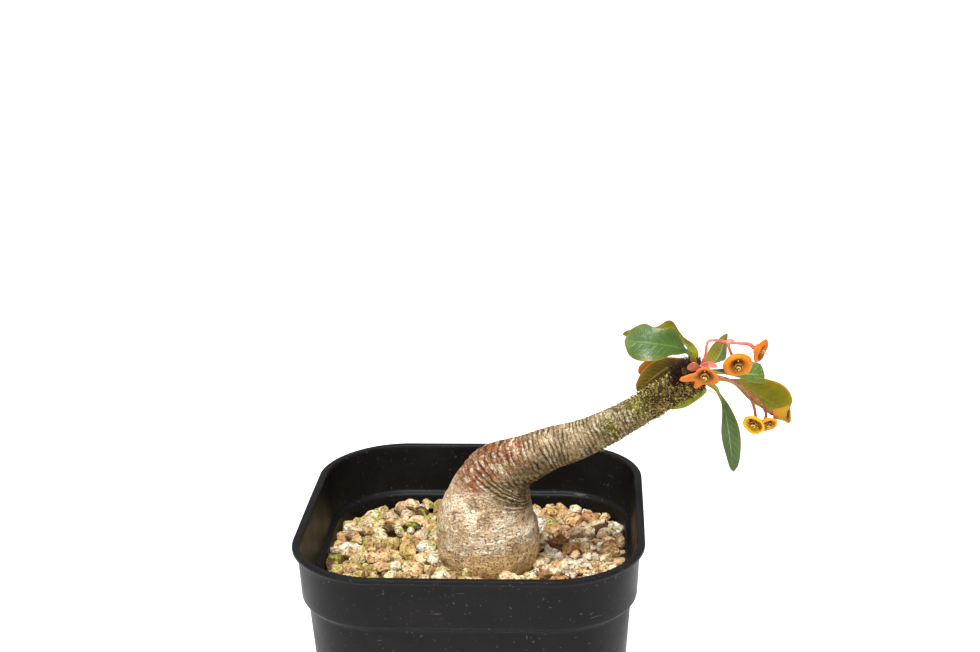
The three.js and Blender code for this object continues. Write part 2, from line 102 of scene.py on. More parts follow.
def lumps(points, cell, seed):
    """Smooth random heights from -1 to 1: random numbers on a cubic lattice with one every
    cell, blended between the eight round each point by 3t^2 - 2t^3."""
    lattice = np.random.default_rng(seed).uniform(-1, 1, (24, 24, 24))
    scaled = points / cell
    base = np.floor(scaled).astype(int)
    share = scaled - base
    share = share * share * (3 - 2 * share)
    total = np.zeros(points.shape[:-1])
    for corner in np.ndindex(2, 2, 2):
        weight = np.prod(np.where(corner, share, 1 - share), axis=-1)
        total += weight * lattice[tuple(np.moveaxis((base + corner) % 24, -1, 0))]
    return total


def grid_quads(rows, columns):
    """Quads between the neighbours of a grid of points whose last column joins the first."""
    column = np.arange(columns)
    following = (column + 1) % columns
    row = np.arange(rows - 1)[:, None] * columns
    corners = [row + column, row + following, row + columns + following, row + columns + column]
    return np.stack(corners, -1).reshape(-1, 4)


def closed_tube(rings):
    """Points and faces of a closed body from a (rows, columns, 3) grid: quads between the
    rings, and a fan to the middle of the first ring and of the last."""
    rows, columns = rings.shape[:2]
    poles = rings[[0, -1]].mean(axis=1)
    points = np.vstack([rings.reshape(-1, 3), poles])
    column = np.arange(columns)
    following = (column + 1) % columns
    first, last = rows * columns, rows * columns + 1
    top = (rows - 1) * columns
    start = np.stack([np.full(columns, first), following, column], -1)
    end = np.stack([np.full(columns, last), top + column, top + following], -1)
    return points, [grid_quads(rows, columns), np.vstack([start, end])]


def joined(bodies):
    """One set of points and faces from several bodies, each given as points and faces."""
    points, quads, triangles, before = [], [], [], 0
    for body_points, faces in bodies:
        points.append(body_points)
        for group in faces:
            (quads if group.shape[1] == 4 else triangles).append(group + before)
        before += len(body_points)
    return np.vstack(points), [np.vstack(group) for group in (quads, triangles) if group]


def turned(reach, angle, height):
    """Rings about the z axis: x and y are reach times the cosine and sine of angle."""
    upright = np.broadcast_to(height, reach.shape)
    return np.stack([reach * np.cos(angle), reach * np.sin(angle), upright], -1)


def make_piece(name, points, faces, finish, values=None, uv=None, sharp=None):
    """A smooth-shaded mesh object from points in millimetres and arrays of quads or triangles,
    with named values or colours on its points, a UV map, and edges sharper than sharp kept."""
    mesh = bpy.data.meshes.new(name)
    corners = np.concatenate([group.ravel() for group in faces]).astype(np.int32)
    sizes = np.concatenate([np.full(len(group), group.shape[1]) for group in faces])
    mesh.vertices.add(len(points))
    mesh.vertices.foreach_set("co", (points * MM).astype(np.float32).ravel())
    mesh.loops.add(len(corners))
    mesh.loops.foreach_set("vertex_index", corners)
    mesh.polygons.add(len(sizes))
    mesh.polygons.foreach_set("loop_start", (np.cumsum(sizes) - sizes).astype(np.int32))
    mesh.update(calc_edges=True)
    for title, value in (values or {}).items():
        if value.ndim == 2:
            layer = mesh.attributes.new(title, "FLOAT_COLOR", "POINT")
            rgba = np.concatenate([value, np.ones((len(value), 1))], axis=1)
            layer.data.foreach_set("color", rgba.astype(np.float32).ravel())
        else:
            layer = mesh.attributes.new(title, "FLOAT", "POINT")
            layer.data.foreach_set("value", value.astype(np.float32))
    if uv is not None:
        layer = mesh.uv_layers.new(name="UVMap")
        layer.data.foreach_set("uv", uv[corners].astype(np.float32).ravel())
    mesh.materials.append(finish)
    mesh.shade_smooth()
    if sharp is not None:
        mesh.set_sharp_from_angle(angle=sharp)
    piece = bpy.data.objects.new(name, mesh)
    bpy.context.scene.collection.objects.link(piece)
    return piece


def new_finish(name, **settings):
    """A material with one Principled shader whose plain sockets are set by name; returns the
    material, its node tree and the shader."""
    finish = bpy.data.materials.new(name)
    finish.use_nodes = True
    shader = finish.node_tree.nodes["Principled BSDF"]
    for socket, value in settings.items():
        shader.inputs[socket.replace("_", " ")].default_value = value
    return finish, finish.node_tree, shader


def add_node(tree, kind, inputs=None, **settings):
    """Adds a node, sets its options, and fills or links its inputs by name or number."""
    made = tree.nodes.new(kind)
    for option, value in settings.items():
        setattr(made, option, value)
    for socket, value in (inputs or {}).items():
        if isinstance(value, bpy.types.NodeSocket):
            tree.links.new(value, made.inputs[socket])
        else:
            made.inputs[socket].default_value = value
    return made


def stands_for(piece, node):
    """The piece hides a CAD node and rides on the root."""
    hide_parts(node)
    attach(piece, "root")


def rgba(colour):
    return (*colour, 1.0)


def blend(tree, share, first, second):
    """The colour between first and second at share, each a socket or three numbers."""
    ends = [c if isinstance(c, bpy.types.NodeSocket) else rgba(c) for c in (first, second)]
    inputs = {0: share, 6: ends[0], 7: ends[1]}
    return add_node(tree, "ShaderNodeMix", inputs, data_type="RGBA").outputs[2]


def sums(tree, operation, first, second=0.0):
    """One Math node on two values; its result is held between 0 and 1 for ADD and MULTIPLY."""
    made = add_node(tree, "ShaderNodeMath", {0: first, 1: second}, operation=operation)
    made.use_clamp = operation in ("ADD", "MULTIPLY")
    return made.outputs[0]


def times(tree, first, second):
    """The product of two values."""
    return sums(tree, "MULTIPLY", first, second)


def between(tree, value, low, high, start=0.0, end=1.0):
    """A value carried from the span low..high to start..end, and held at its ends."""
    inputs = {"Value": value, "From Min": low, "From Max": high, "To Min": start, "To Max": end}
    return add_node(tree, "ShaderNodeMapRange", inputs).outputs[0]


def make_mottle():
    """Shader group: soft random patches on Object coordinates. Noise at Scale per metre, with
    its coordinates multiplied by Stretch, carried from the span Low..High to 0..1."""
    group = bpy.data.node_groups.new("mottle", "ShaderNodeTree")
    sockets = [("Scale", 100.0), ("Detail", 4.0), ("Low", 0.4), ("High", 0.6)]
    for title, value in sockets:
        socket = group.interface.new_socket(title, in_out="INPUT", socket_type="NodeSocketFloat")
        socket.default_value = value
    stretch = group.interface.new_socket("Stretch", in_out="INPUT", socket_type="NodeSocketVector")
    stretch.default_value = (1, 1, 1)
    group.interface.new_socket("Mask", in_out="OUTPUT", socket_type="NodeSocketFloat")
    entry = group.nodes.new("NodeGroupInput").outputs
    place = add_node(group, "ShaderNodeTexCoord").outputs["Object"]
    inputs = {0: place, 1: entry["Stretch"]}
    place = add_node(group, "ShaderNodeVectorMath", inputs, operation="MULTIPLY").outputs[0]
    inputs = {"Vector": place, "Scale": entry["Scale"], "Detail": entry["Detail"]}
    noise = add_node(group, "ShaderNodeTexNoise", inputs).outputs["Fac"]
    mask = between(group, noise, entry["Low"], entry["High"])
    group.links.new(mask, group.nodes.new("NodeGroupOutput").inputs["Mask"])
    return group


MOTTLE = make_mottle()


def mottle(tree, scale, low=0.4, high=0.6, detail=4.0, stretch=(1, 1, 1)):
    """Places the mottle group and returns its mask."""
    inputs = {"Scale": scale, "Low": low, "High": high, "Detail": detail, "Stretch": stretch}
    placed = tree.nodes.new("ShaderNodeGroup")
    placed.node_tree = MOTTLE
    for socket, value in inputs.items():
        placed.inputs[socket].default_value = value
    return placed.outputs["Mask"]


def coat(tree, shader, colour, rough=None):
    """Links a colour, and a roughness where one is given, to the shader."""
    tree.links.new(colour, shader.inputs["Base Color"])
    if rough is not None:
        tree.links.new(rough, shader.inputs["Roughness"])


def relief(tree, shader, height, distance, strength=1.0):
    """Feeds a height of so many metres at 1 to the shader's Normal through a Bump node."""
    inputs = {"Height": height, "Distance": distance, "Strength": strength}
    bump = add_node(tree, "ShaderNodeBump", inputs)
    tree.links.new(bump.outputs["Normal"], shader.inputs["Normal"])


def plastic_finish():
    """Black polypropylene with a fine grain, thin pale scratches and patches of dust."""
    finish, tree, shader = new_finish("worn_black_plastic", Specular_IOR_Level=0.1)
    dust = mottle(tree, 90, 0.45, 0.85, 6)
    grain = mottle(tree, 2600, 0.3, 0.7, 2)
    level_scratch = mottle(tree, 1100, 0.7, 0.76, 2, (0.12, 0.12, 1))
    upright_scratch = mottle(tree, 1900, 0.71, 0.76, 2, (1, 1, 0.3))
    specks = mottle(tree, 1300, 0.71, 0.76, 1)
    scratches = sums(tree, "MAXIMUM", level_scratch, upright_scratch)
    scratches = times(tree, scratches, mottle(tree, 60, 0.5, 0.62, 2))
    marks = sums(tree, "MAXIMUM", scratches, times(tree, specks, 0.7))
    colour = blend(tree, times(tree, dust, 0.7), PLASTIC_BLACK, DUST_GREY)
    colour = blend(tree, times(tree, marks, 0.45), colour, SCRATCH_GREY)
    worn = sums(tree, "ADD", dust, times(tree, grain, 0.3))
    coat(tree, shader, colour, between(tree, worn, 0, 1.2, 0.4, 0.62))
    height = sums(tree, "ADD", times(tree, grain, 0.5), scratches)
    relief(tree, shader, height, 0.00004, 0.6)
    return finish


collar_half = RIM_HALF - 2.0
lip_half = RIM_HALF - 1.3
pot_profile = [
    (HUB, 0), (body_half(0) - 0.3, 0), (body_half(COLLAR_Z) - 0.05, COLLAR_Z - 0.5),
    (collar_half, COLLAR_Z + 0.4), (lip_half, RIM_HEIGHT - 1.5), (RIM_HALF, RIM_HEIGHT - 1.3),
    (RIM_HALF, RIM_HEIGHT - 0.1), (RIM_HALF - 0.5, RIM_HEIGHT), (lip_half - 0.6, RIM_HEIGHT),
    (lip_half - WALL, RIM_HEIGHT - 0.6), (collar_half - WALL, COLLAR_Z + 0.6),
    (body_half(COLLAR_Z) - WALL - 0.1, COLLAR_Z), (body_half(2) - WALL, FLOOR_TOP),
    (HUB, FLOOR_TOP),
]
pot_path = refine(soften(pot_profile, 0.7), 2.5)
angle = np.linspace(0, 2 * np.pi, POT_COLUMNS, endpoint=False)
reach = round_square(pot_path[:, :1], angle)
reach = np.where(pot_path[:, :1] < CORNER_CENTRE + 1, pot_path[:, :1], reach)
pot_rings = turned(reach, angle, pot_path[:, 1:])
# The walls and the lip have warped a little in use, by these shares and millimetres.
WALL_WARP, LIP_WARP = 0.0028, 0.1
warp = WALL_WARP * lumps(pot_rings, 26, 3)[..., None] * (pot_rings[..., 2:] > 3)
pot_rings[..., :2] *= 1 + warp
pot_rings[..., 2] += LIP_WARP * lumps(pot_rings, 18, 4) * (pot_rings[..., 2] > RIM_HEIGHT - 3)
pot_rings[..., 2] = np.minimum(pot_rings[..., 2], RIM_HEIGHT)
pot = make_piece("moulded_pot", *closed_tube(pot_rings), plastic_finish())

SLOT_LENGTH, SLOT_WIDTH, SLOT_INSET, SLOTS = 15.0, 3.0, 5.0, 8
slot_edge = np.linspace(0, 2 * np.pi, 24, endpoint=False)
straight = SLOT_LENGTH / 2 - SLOT_WIDTH / 2
end_x, end_y = SLOT_WIDTH / 2 * np.cos(slot_edge), SLOT_WIDTH / 2 * np.sin(slot_edge)
slot_outline = np.stack([np.sign(np.cos(slot_edge)) * straight + end_x, end_y], -1)
slot_outline[:, 0] += body_half(0) - SLOT_INSET - SLOT_LENGTH / 2
cutters = []
for turn in (np.arange(SLOTS) + 0.5) * 2 * np.pi / SLOTS:
    spin = np.array([[np.cos(turn), np.sin(turn)], [-np.sin(turn), np.cos(turn)]])
    across = slot_outline @ spin
    ring = [np.column_stack([across, np.full(len(across), z)]) for z in (-2.0, FLOOR_TOP + 2)]
    cutters.append(closed_tube(np.array(ring)))
cutter = make_piece("drain_cutter", *joined(cutters), plastic_finish())
cut = pot.modifiers.new("drain_slots", "BOOLEAN")
cut.operation, cut.solver, cut.object = "DIFFERENCE", "EXACT", cutter
cut_pot = pot.evaluated_get(bpy.context.evaluated_depsgraph_get())
cut_mesh = bpy.data.meshes.new_from_object(cut_pot)
pot.modifiers.clear()
pot.data = cut_mesh
bpy.data.objects.remove(cutter)
stands_for(pot, "pot")

# ---- potting mix ----------------------------------------------------------------------------
# The dark peat and bark mix under the gravel. It is seen only through the drain slots, so it
# keeps its plain shape, with a crumbly finish.


def soil_finish():
    """Dark brown crumbs with paler bits of bark between them."""
    finish, tree, shader = new_finish("potting_soil", Roughness=0.95, Specular_IOR_Level=0.2)
    crumbs = mottle(tree, 700, 0.35, 0.65, 8)
    bits = mottle(tree, 350, 0.62, 0.68, 2)
    colour = blend(tree, crumbs, (0.02, 0.011, 0.006), (0.075, 0.042, 0.022))
    coat(tree, shader, blend(tree, bits, colour, (0.2, 0.12, 0.06)))
    relief(tree, shader, crumbs, 0.0012)
    return finish


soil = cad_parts["potting_mix"]
soil.data.materials.clear()
soil.data.materials.append(soil_finish())

# ---- gravel ---------------------------------------------------------------------------------
# The top dressing: pumice, tan and ochre pebbles 2 to 6 mm across in loose layers over fines
# kept dark as painted shade in the deep gaps, with grit in the gaps. Moss has started on the
# damper left side.

stem_low, stem_high = (np.array(corner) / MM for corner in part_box("caudex_stem"))
bed_low = np.array(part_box("gravel_bed")[0]) / MM
CAUDEX_RADIUS = 14.0
GRAVEL_TOP = RIM_HEIGHT - 19.0
FINES_TOP = GRAVEL_TOP - 4.4
AXIS = np.array([stem_low[0] + CAUDEX_RADIUS - 0.2, (stem_low[1] + stem_high[1]) / 2])
NAMED = [f"stone_{i + 1:02d}" for i in range(12)]
random = np.random.default_rng(11)


def icosphere(level):
    """Points and triangles of a ball of radius 1 with 20, 80, 320 or 1280 faces."""
    ball = bmesh.new()
    bmesh.ops.create_icosphere(ball, subdivisions=level, radius=1.0)
    points = np.array([corner.co[:] for corner in ball.verts])
    triangles = np.array([[corner.index for corner in face.verts] for face in ball.faces])
    ball.free()
    return points, triangles


def turns(yaw, tilt_x, tilt_y):
    """Rotation matrices, one for each stone: tipped about x, then y, then turned about z."""
    cx, sx, cy, sy = np.cos(tilt_x), np.sin(tilt_x), np.cos(tilt_y), np.sin(tilt_y)
    cz, sz, none, one = np.cos(yaw), np.sin(yaw), 0 * yaw, 0 * yaw + 1
    about_x = np.array([[one, none, none], [none, cx, -sx], [none, sx, cx]])
    about_y = np.array([[cy, none, sy], [none, one, none], [-sy, none, cy]])
    about_z = np.array([[cz, -sz, none], [sz, cz, none], [none, none, one]])
    return np.einsum("ijs,jks,kls->sil", about_z, about_y, about_x)


def broken_stones(count, level, flats, random, chipped=0.13):
    """Angular pebbles of about radius 1, as (count, points, 3): along each direction of a ball
    the surface is the nearest of several random flats, or the ball itself, softened a little."""
    ball, triangles = icosphere(level)
    normals = random.normal(size=(count, flats, 3))
    normals /= np.linalg.norm(normals, axis=-1, keepdims=True)
    depth = random.uniform(0.55, 0.9, (count, 1, flats))
    facing = np.einsum("pk,sfk->spf", ball, normals)
    reach = np.where(facing > 0.05, depth / np.maximum(facing, 0.05), 9.0)
    reach = 1 / (np.sum(reach**-16.0, axis=-1) + 1) ** (1 / 16)
    reach = reach * random.uniform(1 - chipped, 1 + chipped, reach.shape)
    return ball * reach[..., None], triangles


SETTLING_STEPS, SINK, NEAREST, PUSH = 90, 0.03, 0.86, 0.42


def settle(centres, radii, fixed, fixed_radii):
    """Stones sink a little and push apart, all at once: each pair nearer than NEAREST of its
    radii moves apart, and each stone moves clear of the wall, the caudex and the fines."""
    for _ in range(SETTLING_STEPS):
        centres[:, 2] -= SINK
        everything = np.vstack([centres, fixed])
        sizes = np.concatenate([radii, fixed_radii])
        apart = centres[:, None] - everything[None]
        distance = np.linalg.norm(apart, axis=-1) + 1e-6
        overlap = np.maximum(NEAREST * (radii[:, None] + sizes) - distance, 0)
        overlap[np.arange(len(radii)), np.arange(len(radii))] = 0
        centres += PUSH * np.einsum("ij,ijk->ik", overlap / distance, apart)
        inner = body_half(GRAVEL_TOP) - WALL - 0.8 * radii
        angle = np.arctan2(centres[:, 1], centres[:, 0])
        out = np.linalg.norm(centres[:, :2], axis=1)
        limit = np.array([round_square(h, a) for h, a in zip(inner, angle)])
        centres[:, :2] *= np.minimum(1, limit / np.maximum(out, 1e-6))[:, None]
        from_axis = centres[:, :2] - AXIS
        gap = np.linalg.norm(from_axis, axis=1)
        clear = CAUDEX_RADIUS - 0.6 + 0.75 * radii
        centres[:, :2] += from_axis / gap[:, None] * np.maximum(clear - gap, 0)[:, None]
        centres[:, 2] = np.maximum(centres[:, 2], FINES_TOP + 0.5 * radii)
        centres[:, 2] = np.minimum(centres[:, 2], GRAVEL_TOP + 3.6 - 0.75 * radii)
    return centres


def painted(tree, name, output="Color"):
    """A colour, or with Fac a value, that was laid on the mesh's points."""
    return add_node(tree, "ShaderNodeAttribute", attribute_name=name).outputs[output]


def tinted(tree, colour, tint):
    """A colour multiplied by three numbers."""
    inputs = {0: 1.0, 6: colour, 7: rgba(tint)}
    made = add_node(tree, "ShaderNodeMix", inputs, data_type="RGBA", blend_type="MULTIPLY")
    return made.outputs[2]


PIT_BROWN, MOSS_BRIGHT, MOSS_DEEP = (0.07, 0.04, 0.02), (0.50, 0.50, 0.07), (0.20, 0.24, 0.015)


def stone_finish(name, pits):
    """Mineral surface: the stone's own tint, mottled lighter and darker, with small dark pits
    and patches of yellow-green moss where the value moss allows it."""
    finish, tree, shader = new_finish(name, Specular_IOR_Level=0.25)
    tint, moss = painted(tree, "tint"), painted(tree, "moss", "Fac")
    broad = mottle(tree, 420, 0.38, 0.62, 6)
    fine = mottle(tree, 1500, 0.4, 0.6, 5)
    holes = times(tree, mottle(tree, 1250, 0.58, 0.65, 3), pits)
    dark, light = tinted(tree, tint, (0.55, 0.42, 0.28)), tinted(tree, tint, (1.15, 1.15, 1.13))
    colour = blend(tree, broad, dark, light)
    colour = blend(tree, times(tree, fine, 0.5), colour, dark)
    colour = blend(tree, times(tree, holes, 0.9), colour, PIT_BROWN)
    growth = times(tree, moss, mottle(tree, 520, 0.5, 0.58, 4))
    colour = blend(tree, growth, colour, blend(tree, fine, MOSS_BRIGHT, MOSS_DEEP))
    coat(tree, shader, colour, between(tree, broad, 0, 1, 0.9, 0.78))
    height = sums(tree, "ADD", times(tree, broad, 0.6), times(tree, fine, 0.3))
    relief(tree, shader, sums(tree, "SUBTRACT", height, holes), 0.0007)
    return finish


STONE_TINTS = np.array([
    (0.94, 0.84, 0.64), (0.90, 0.74, 0.50), (0.95, 0.92, 0.84),  # pumice
    (0.84, 0.62, 0.36), (0.76, 0.52, 0.28), (0.88, 0.70, 0.45),  # tan
    (0.60, 0.36, 0.17), (0.76, 0.50, 0.22), (0.50, 0.33, 0.20),  # ochre and brown
    (0.66, 0.54, 0.40), (0.15, 0.08, 0.045),  # grey and dark
])
TINT_SHARES = np.array([0.16, 0.16, 0.07, 0.17, 0.13, 0.12, 0.06, 0.04, 0.04, 0.04, 0.01])


def moss_amount(places, random):
    """How mossy each stone is: mostly on the left of the caudex, and never on every stone."""
    left = np.clip((AXIS[0] + 6 - places[:, 0]) / 30, 0.1, 1)
    chance = random.random(len(places))
    return np.where(chance < 0.6 * left, random.uniform(0.6, 1.0, len(places)), 0.0)


def stone_piece(name, centres, radii, level, flats, finish, random):
    """Many stones as one piece, each with its own shape, turn, tint and moss."""
    count = len(centres)
    shapes, triangles = broken_stones(count, level, flats, random)
    axes = random.uniform([1.0, 0.8, 0.6], [1.35, 1.05, 0.9], (count, 3))
    shapes = shapes * axes[:, None] * radii[:, None, None] * 1.16
    turn = turns(random.uniform(0, 2 * np.pi, count), *random.uniform(-0.6, 0.6, (2, count)))
    points = np.einsum("spk,slk->spl", shapes, turn) + centres[:, None]
    inner = body_half(points[..., 2]) - WALL - 0.1
    wall = round_square(inner, np.arctan2(points[..., 1], points[..., 0]))
    out = np.linalg.norm(points[..., :2], axis=-1)
    points[..., :2] *= np.minimum(1, wall / np.maximum(out, 1e-6))[..., None]
    faces = triangles + np.arange(count)[:, None, None] * shapes.shape[1]
    shares = TINT_SHARES / TINT_SHARES.sum()
    tints = STONE_TINTS[random.choice(len(STONE_TINTS), count, p=shares)]
    tints = np.clip(tints * random.uniform(0.82, 1.1, (count, 1)), 0, 0.95)
    moss = moss_amount(centres, random)
    repeat = shapes.shape[1]
    values = {"tint": np.repeat(tints, repeat, axis=0), "moss": np.repeat(moss, repeat)}
    return make_piece(name, points.reshape(-1, 3), [faces.reshape(-1, 3)], finish, values,
                      sharp=0.62)


def within(places, half):
    """Which places lie in the round square of the given half width."""
    facing = np.arctan2(places[:, 1], places[:, 0])
    out = np.linalg.norm(places[:, :2], axis=1)
    return out < round_square(np.full(len(places), half), facing)


def from_caudex(places):
    """Level distance of each place from the caudex's axis."""
    return np.linalg.norm(places[:, :2] - AXIS, axis=1)


named_boxes = [[np.array(corner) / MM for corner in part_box(name)] for name in NAMED]
named_centres = np.array([(low + high) / 2 for low, high in named_boxes])
named_radii = np.array([(high - low).mean() / 2 for low, high in named_boxes])
spacing = 4.5
across, back = np.meshgrid(np.arange(-10, 11), np.arange(-12, 13))
hexagons = np.stack([(across + 0.5 * (back % 2)) * spacing, back * spacing * 0.87], -1)
hexagons = hexagons.reshape(-1, 2)
layers = []
for level in (GRAVEL_TOP - 3.3, GRAVEL_TOP - 0.2, GRAVEL_TOP + 2.6):
    layer = np.column_stack([hexagons, np.full(len(hexagons), level)])
    layers.append(layer + random.normal(0, (0.9, 0.9, 0.5), layer.shape))
centres = np.vstack(layers)
radii = np.clip(random.lognormal(np.log(2.05), 0.22, len(centres)), 1.2, 3.1)
inside = within(centres, 40.0) & (from_caudex(centres) > CAUDEX_RADIUS)
centres, radii = centres[inside], radii[inside]
centres = settle(centres, radii, named_centres, 0.9 * named_radii)
clear = from_caudex(centres) > CAUDEX_RADIUS - 1.2
centres, radii = centres[clear], radii[clear]

gravel_finish = stone_finish("mixed_gravel", 0.8)
gravel = stone_piece("gravel_pebbles", centres, radii, 2, 9, gravel_finish, random)
GRIT_TRIED = 1100
grit_centres = np.column_stack([random.uniform(-40, 40, (GRIT_TRIED, 2)),
                                random.uniform(FINES_TOP, GRAVEL_TOP - 0.6, GRIT_TRIED)])
inside = within(grit_centres, 39.0) & (from_caudex(grit_centres) > CAUDEX_RADIUS - 0.5)
grit_centres = grit_centres[inside]
grit_radii = random.uniform(0.35, 0.85, len(grit_centres))
grit = stone_piece("gravel_grit", grit_centres, grit_radii, 1, 4, gravel_finish, random)


def gap_shade_fines_finish():
    """The crumbled grey-brown fines at the bottom of the gaps, kept dark as painted shade there."""
    finish, tree, shader = new_finish("gravel_fines_gap_shade", Roughness=0.95, Specular_IOR_Level=0.2)
    crumbs = mottle(tree, 900, 0.35, 0.65, 8)
    # Painted shade: near black, for the shade deep between the stones.
    coat(tree, shader, blend(tree, crumbs, (0.035, 0.02, 0.01), (0.16, 0.1, 0.055)))
    relief(tree, shader, crumbs, 0.0008)
    return finish


FINES_COLUMNS = 240
fines_half = body_half(FINES_TOP) - WALL - 0.4
fines_path = np.array([  # share of the way out, height
    (0.05, bed_low[2]), (0.5, bed_low[2]), (0.98, bed_low[2]), (0.995, bed_low[2] + 0.6),
    (1, FINES_TOP - 0.6), *[(share, FINES_TOP) for share in np.linspace(0.99, 0.02, 60)],
])
angle = np.linspace(0, 2 * np.pi, FINES_COLUMNS, endpoint=False)
reach = round_square(np.full(FINES_COLUMNS, fines_half), angle) * fines_path[:, :1]
fines_rings = turned(reach, angle, fines_path[:, 1:])
top_rows = fines_path[:, 1] >= FINES_TOP
fines_rings[top_rows, :, 2] += (0.7 * lumps(fines_rings[top_rows], 2.6, 21)
                                + 0.4 * lumps(fines_rings[top_rows], 1.1, 22))
fines_rings[fines_path[:, 1] < FINES_TOP - 0.5, :, :2] *= 0.992
fines = make_piece("gravel_fines_gap_shade", *closed_tube(fines_rings), gap_shade_fines_finish())

# Loose stones on top, each with its own tint and moss: cream flakes, tan lumps and one dark
# brown piece of lava beside the caudex.
LOOSE = [  # tint, moss, pits
    ((0.92, 0.90, 0.84), 0.75, 0.5), ((0.90, 0.86, 0.76), 0.45, 0.5), ((0.30, 0.15, 0.065), 0, 1),
    ((0.95, 0.94, 0.90), 0.8, 0.4), ((0.90, 0.85, 0.74), 0, 0.8), ((0.92, 0.88, 0.78), 0, 0.3),
    ((0.48, 0.26, 0.11), 0, 1.0), ((0.74, 0.62, 0.47), 0, 1.0), ((0.70, 0.50, 0.24), 0.6, 0.8),
    ((0.72, 0.52, 0.29), 0.3, 0.8), ((0.66, 0.48, 0.27), 0, 1.0), ((0.75, 0.60, 0.42), 0, 0.8),
]
for number, (name, (low, high), (tint, moss, pits)) in enumerate(zip(NAMED, named_boxes, LOOSE)):
    own_random = np.random.default_rng(40 + number)
    shape, triangles = broken_stones(1, 4, 9, own_random, 0)
    shape = shape[0] * own_random.uniform([1.0, 0.9, 0.8], [1.25, 1.05, 1.0])
    place = shape + number * 5
    shape = shape * (1 + 0.07 * lumps(place, 0.5, 31) + 0.035 * lumps(place, 0.2, 32))[:, None]
    shape = shape @ turns(*own_random.uniform(-0.5, 0.5, (3, 1)))[0].T
    least, most = shape.min(0), shape.max(0)
    shape = (shape - (most + least) / 2) / (most - least) * (high - low) + (low + high) / 2
    values = {"tint": np.tile(tint, (len(shape), 1)), "moss": np.full(len(shape), float(moss))}
    finish = stone_finish(f"{name}_mineral", pits)
    stone = make_piece(f"loose_{name}", shape, [triangles], finish, values, sharp=0.75)
    stands_for(stone, name)

for piece in (gravel, grit, fines):
    stands_for(piece, "gravel_bed")

# ---- caudex and stem ------------------------------------------------------------------------
# The swollen water-storing base and the leaning stem, one living body. Its bark is smooth and
# pale below, rust-red and flaking on the shoulder, and closely ringed with old leaf scars
# along the stem, where moss grows towards the crown.

STEM_RADIUS = 3.7
REACH, RISE = 53.8, 54.2
CROWN = np.array([AXIS[0] + REACH, AXIS[1] - 4.5, GRAVEL_TOP + RISE])
STATIONS = np.array([
    [0, 0, -0.27, 0.2], [0, 0, -0.172, 0.71], [0, 0, -0.039, 0.865], [0, 0, 0.061, 0.99],
    [-0.006, 0, 0.156, 0.988], [-0.008, 0, 0.238, 0.935], [0.006, 0, 0.319, 0.799],
    [0.031, 0, 0.398, 0.675], [0.073, 0, 0.469, 0.538], [0.132, -0.5, 0.523, 0.348],
    [0.215, -1, 0.564, 0.238], [0.318, -1.5, 0.616, 0.185], [0.45, -2, 0.662, 0.132],
    [0.576, -3, 0.726, 0.077], [0.702, -3.5, 0.801, 0.035], [0.838, -4, 0.891, 0],
    [1, -4.5, 1, 0],
])  # share of REACH, sideways drift, share of RISE above the gravel, swelling


def smooth_curve(stations, shares):
    """Points on the Catmull-Rom curve through the rows of stations, from share 0 at the first
    row to share 1 at the last."""
    stations = np.asarray(stations, float)
    ends = 2 * stations[[0, -1]] - stations[[1, -2]]
    padded = np.vstack([ends[:1], stations, ends[1:]])
    at = np.clip(shares, 0, 1) * (len(stations) - 1)
    first = np.minimum(at.astype(int), len(stations) - 2)
    t = (at - first)[:, None]
    p0, p1, p2, p3 = (padded[first + step] for step in range(4))
    return 0.5 * (2 * p1 + (p2 - p0) * t + (2 * p0 - 5 * p1 + 4 * p2 - p3) * t**2
                  + (3 * p1 - p0 - 3 * p2 + p3) * t**3)


def run_of(path):
    """Distance travelled along a path to each of its points."""
    return np.concatenate([[0], np.cumsum(np.linalg.norm(np.diff(path, axis=0), axis=1))])


def even_shares(stations, count):
    """Shares that step evenly along the curve's length."""
    dense = np.linspace(0, 1, 3000)
    lengths = run_of(smooth_curve(stations, dense)[:, :3])
    return np.interp(np.linspace(0, lengths[-1], count), lengths, dense)


def path_frames(centres, reference):
    """Along a path: its direction, the part of reference square to it, and their product."""
    along = np.gradient(centres, axis=0)
    along /= np.linalg.norm(along, axis=1, keepdims=True)
    side = reference - np.sum(reference * along, axis=1, keepdims=True) * along
    side /= np.linalg.norm(side, axis=1, keepdims=True)
    return along, side, np.cross(along, side)


def sweep(centres, radii, columns, reference):
    """Rings of the given radii round a path, square to it."""
    along, side, front = path_frames(centres, np.broadcast_to(reference, centres.shape))
    angle = np.linspace(0, 2 * np.pi, columns, endpoint=False)[:, None]
    spokes = side[:, None] * np.cos(angle) + front[:, None] * np.sin(angle)
    return centres[:, None] + np.reshape(radii, (len(centres), -1, 1)) * spokes, spokes


stem_stations = STATIONS.copy()
stem_stations[:, 0] = AXIS[0] + STATIONS[:, 0] * REACH
stem_stations[:, 1] = AXIS[1] + STATIONS[:, 1]
stem_stations[:, 2] = GRAVEL_TOP + STATIONS[:, 2] * RISE
stem_stations[:, 3] = STEM_RADIUS + STATIONS[:, 3] * (CAUDEX_RADIUS - STEM_RADIUS)
STEM_ROWS, DOME_ROWS, STEM_COLUMNS = 450, 20, 208
spine = smooth_curve(stem_stations, even_shares(stem_stations, STEM_ROWS))
dome = np.linspace(0.08, 1.5, DOME_ROWS)
heading = spine[-1, :3] - spine[-2, :3]
heading /= np.linalg.norm(heading)
dome_centres = spine[-1, :3] + STEM_RADIUS * np.sin(dome)[:, None] * heading
stem_centres = np.vstack([spine[:, :3], dome_centres])
stem_radii = np.concatenate([spine[:, 3], STEM_RADIUS * np.cos(dome)])
STEM_SMOOTHINGS = 3
for _ in range(STEM_SMOOTHINGS):
    stem_radii[1:-24] = (stem_radii[:-25] + stem_radii[1:-24] + stem_radii[2:-23]) / 3
stem_rings, spokes = sweep(stem_centres, stem_radii, STEM_COLUMNS, np.array([0.0, 1.0, 0.0]))
travel = np.broadcast_to(run_of(stem_centres)[:, None], stem_rings.shape[:2])


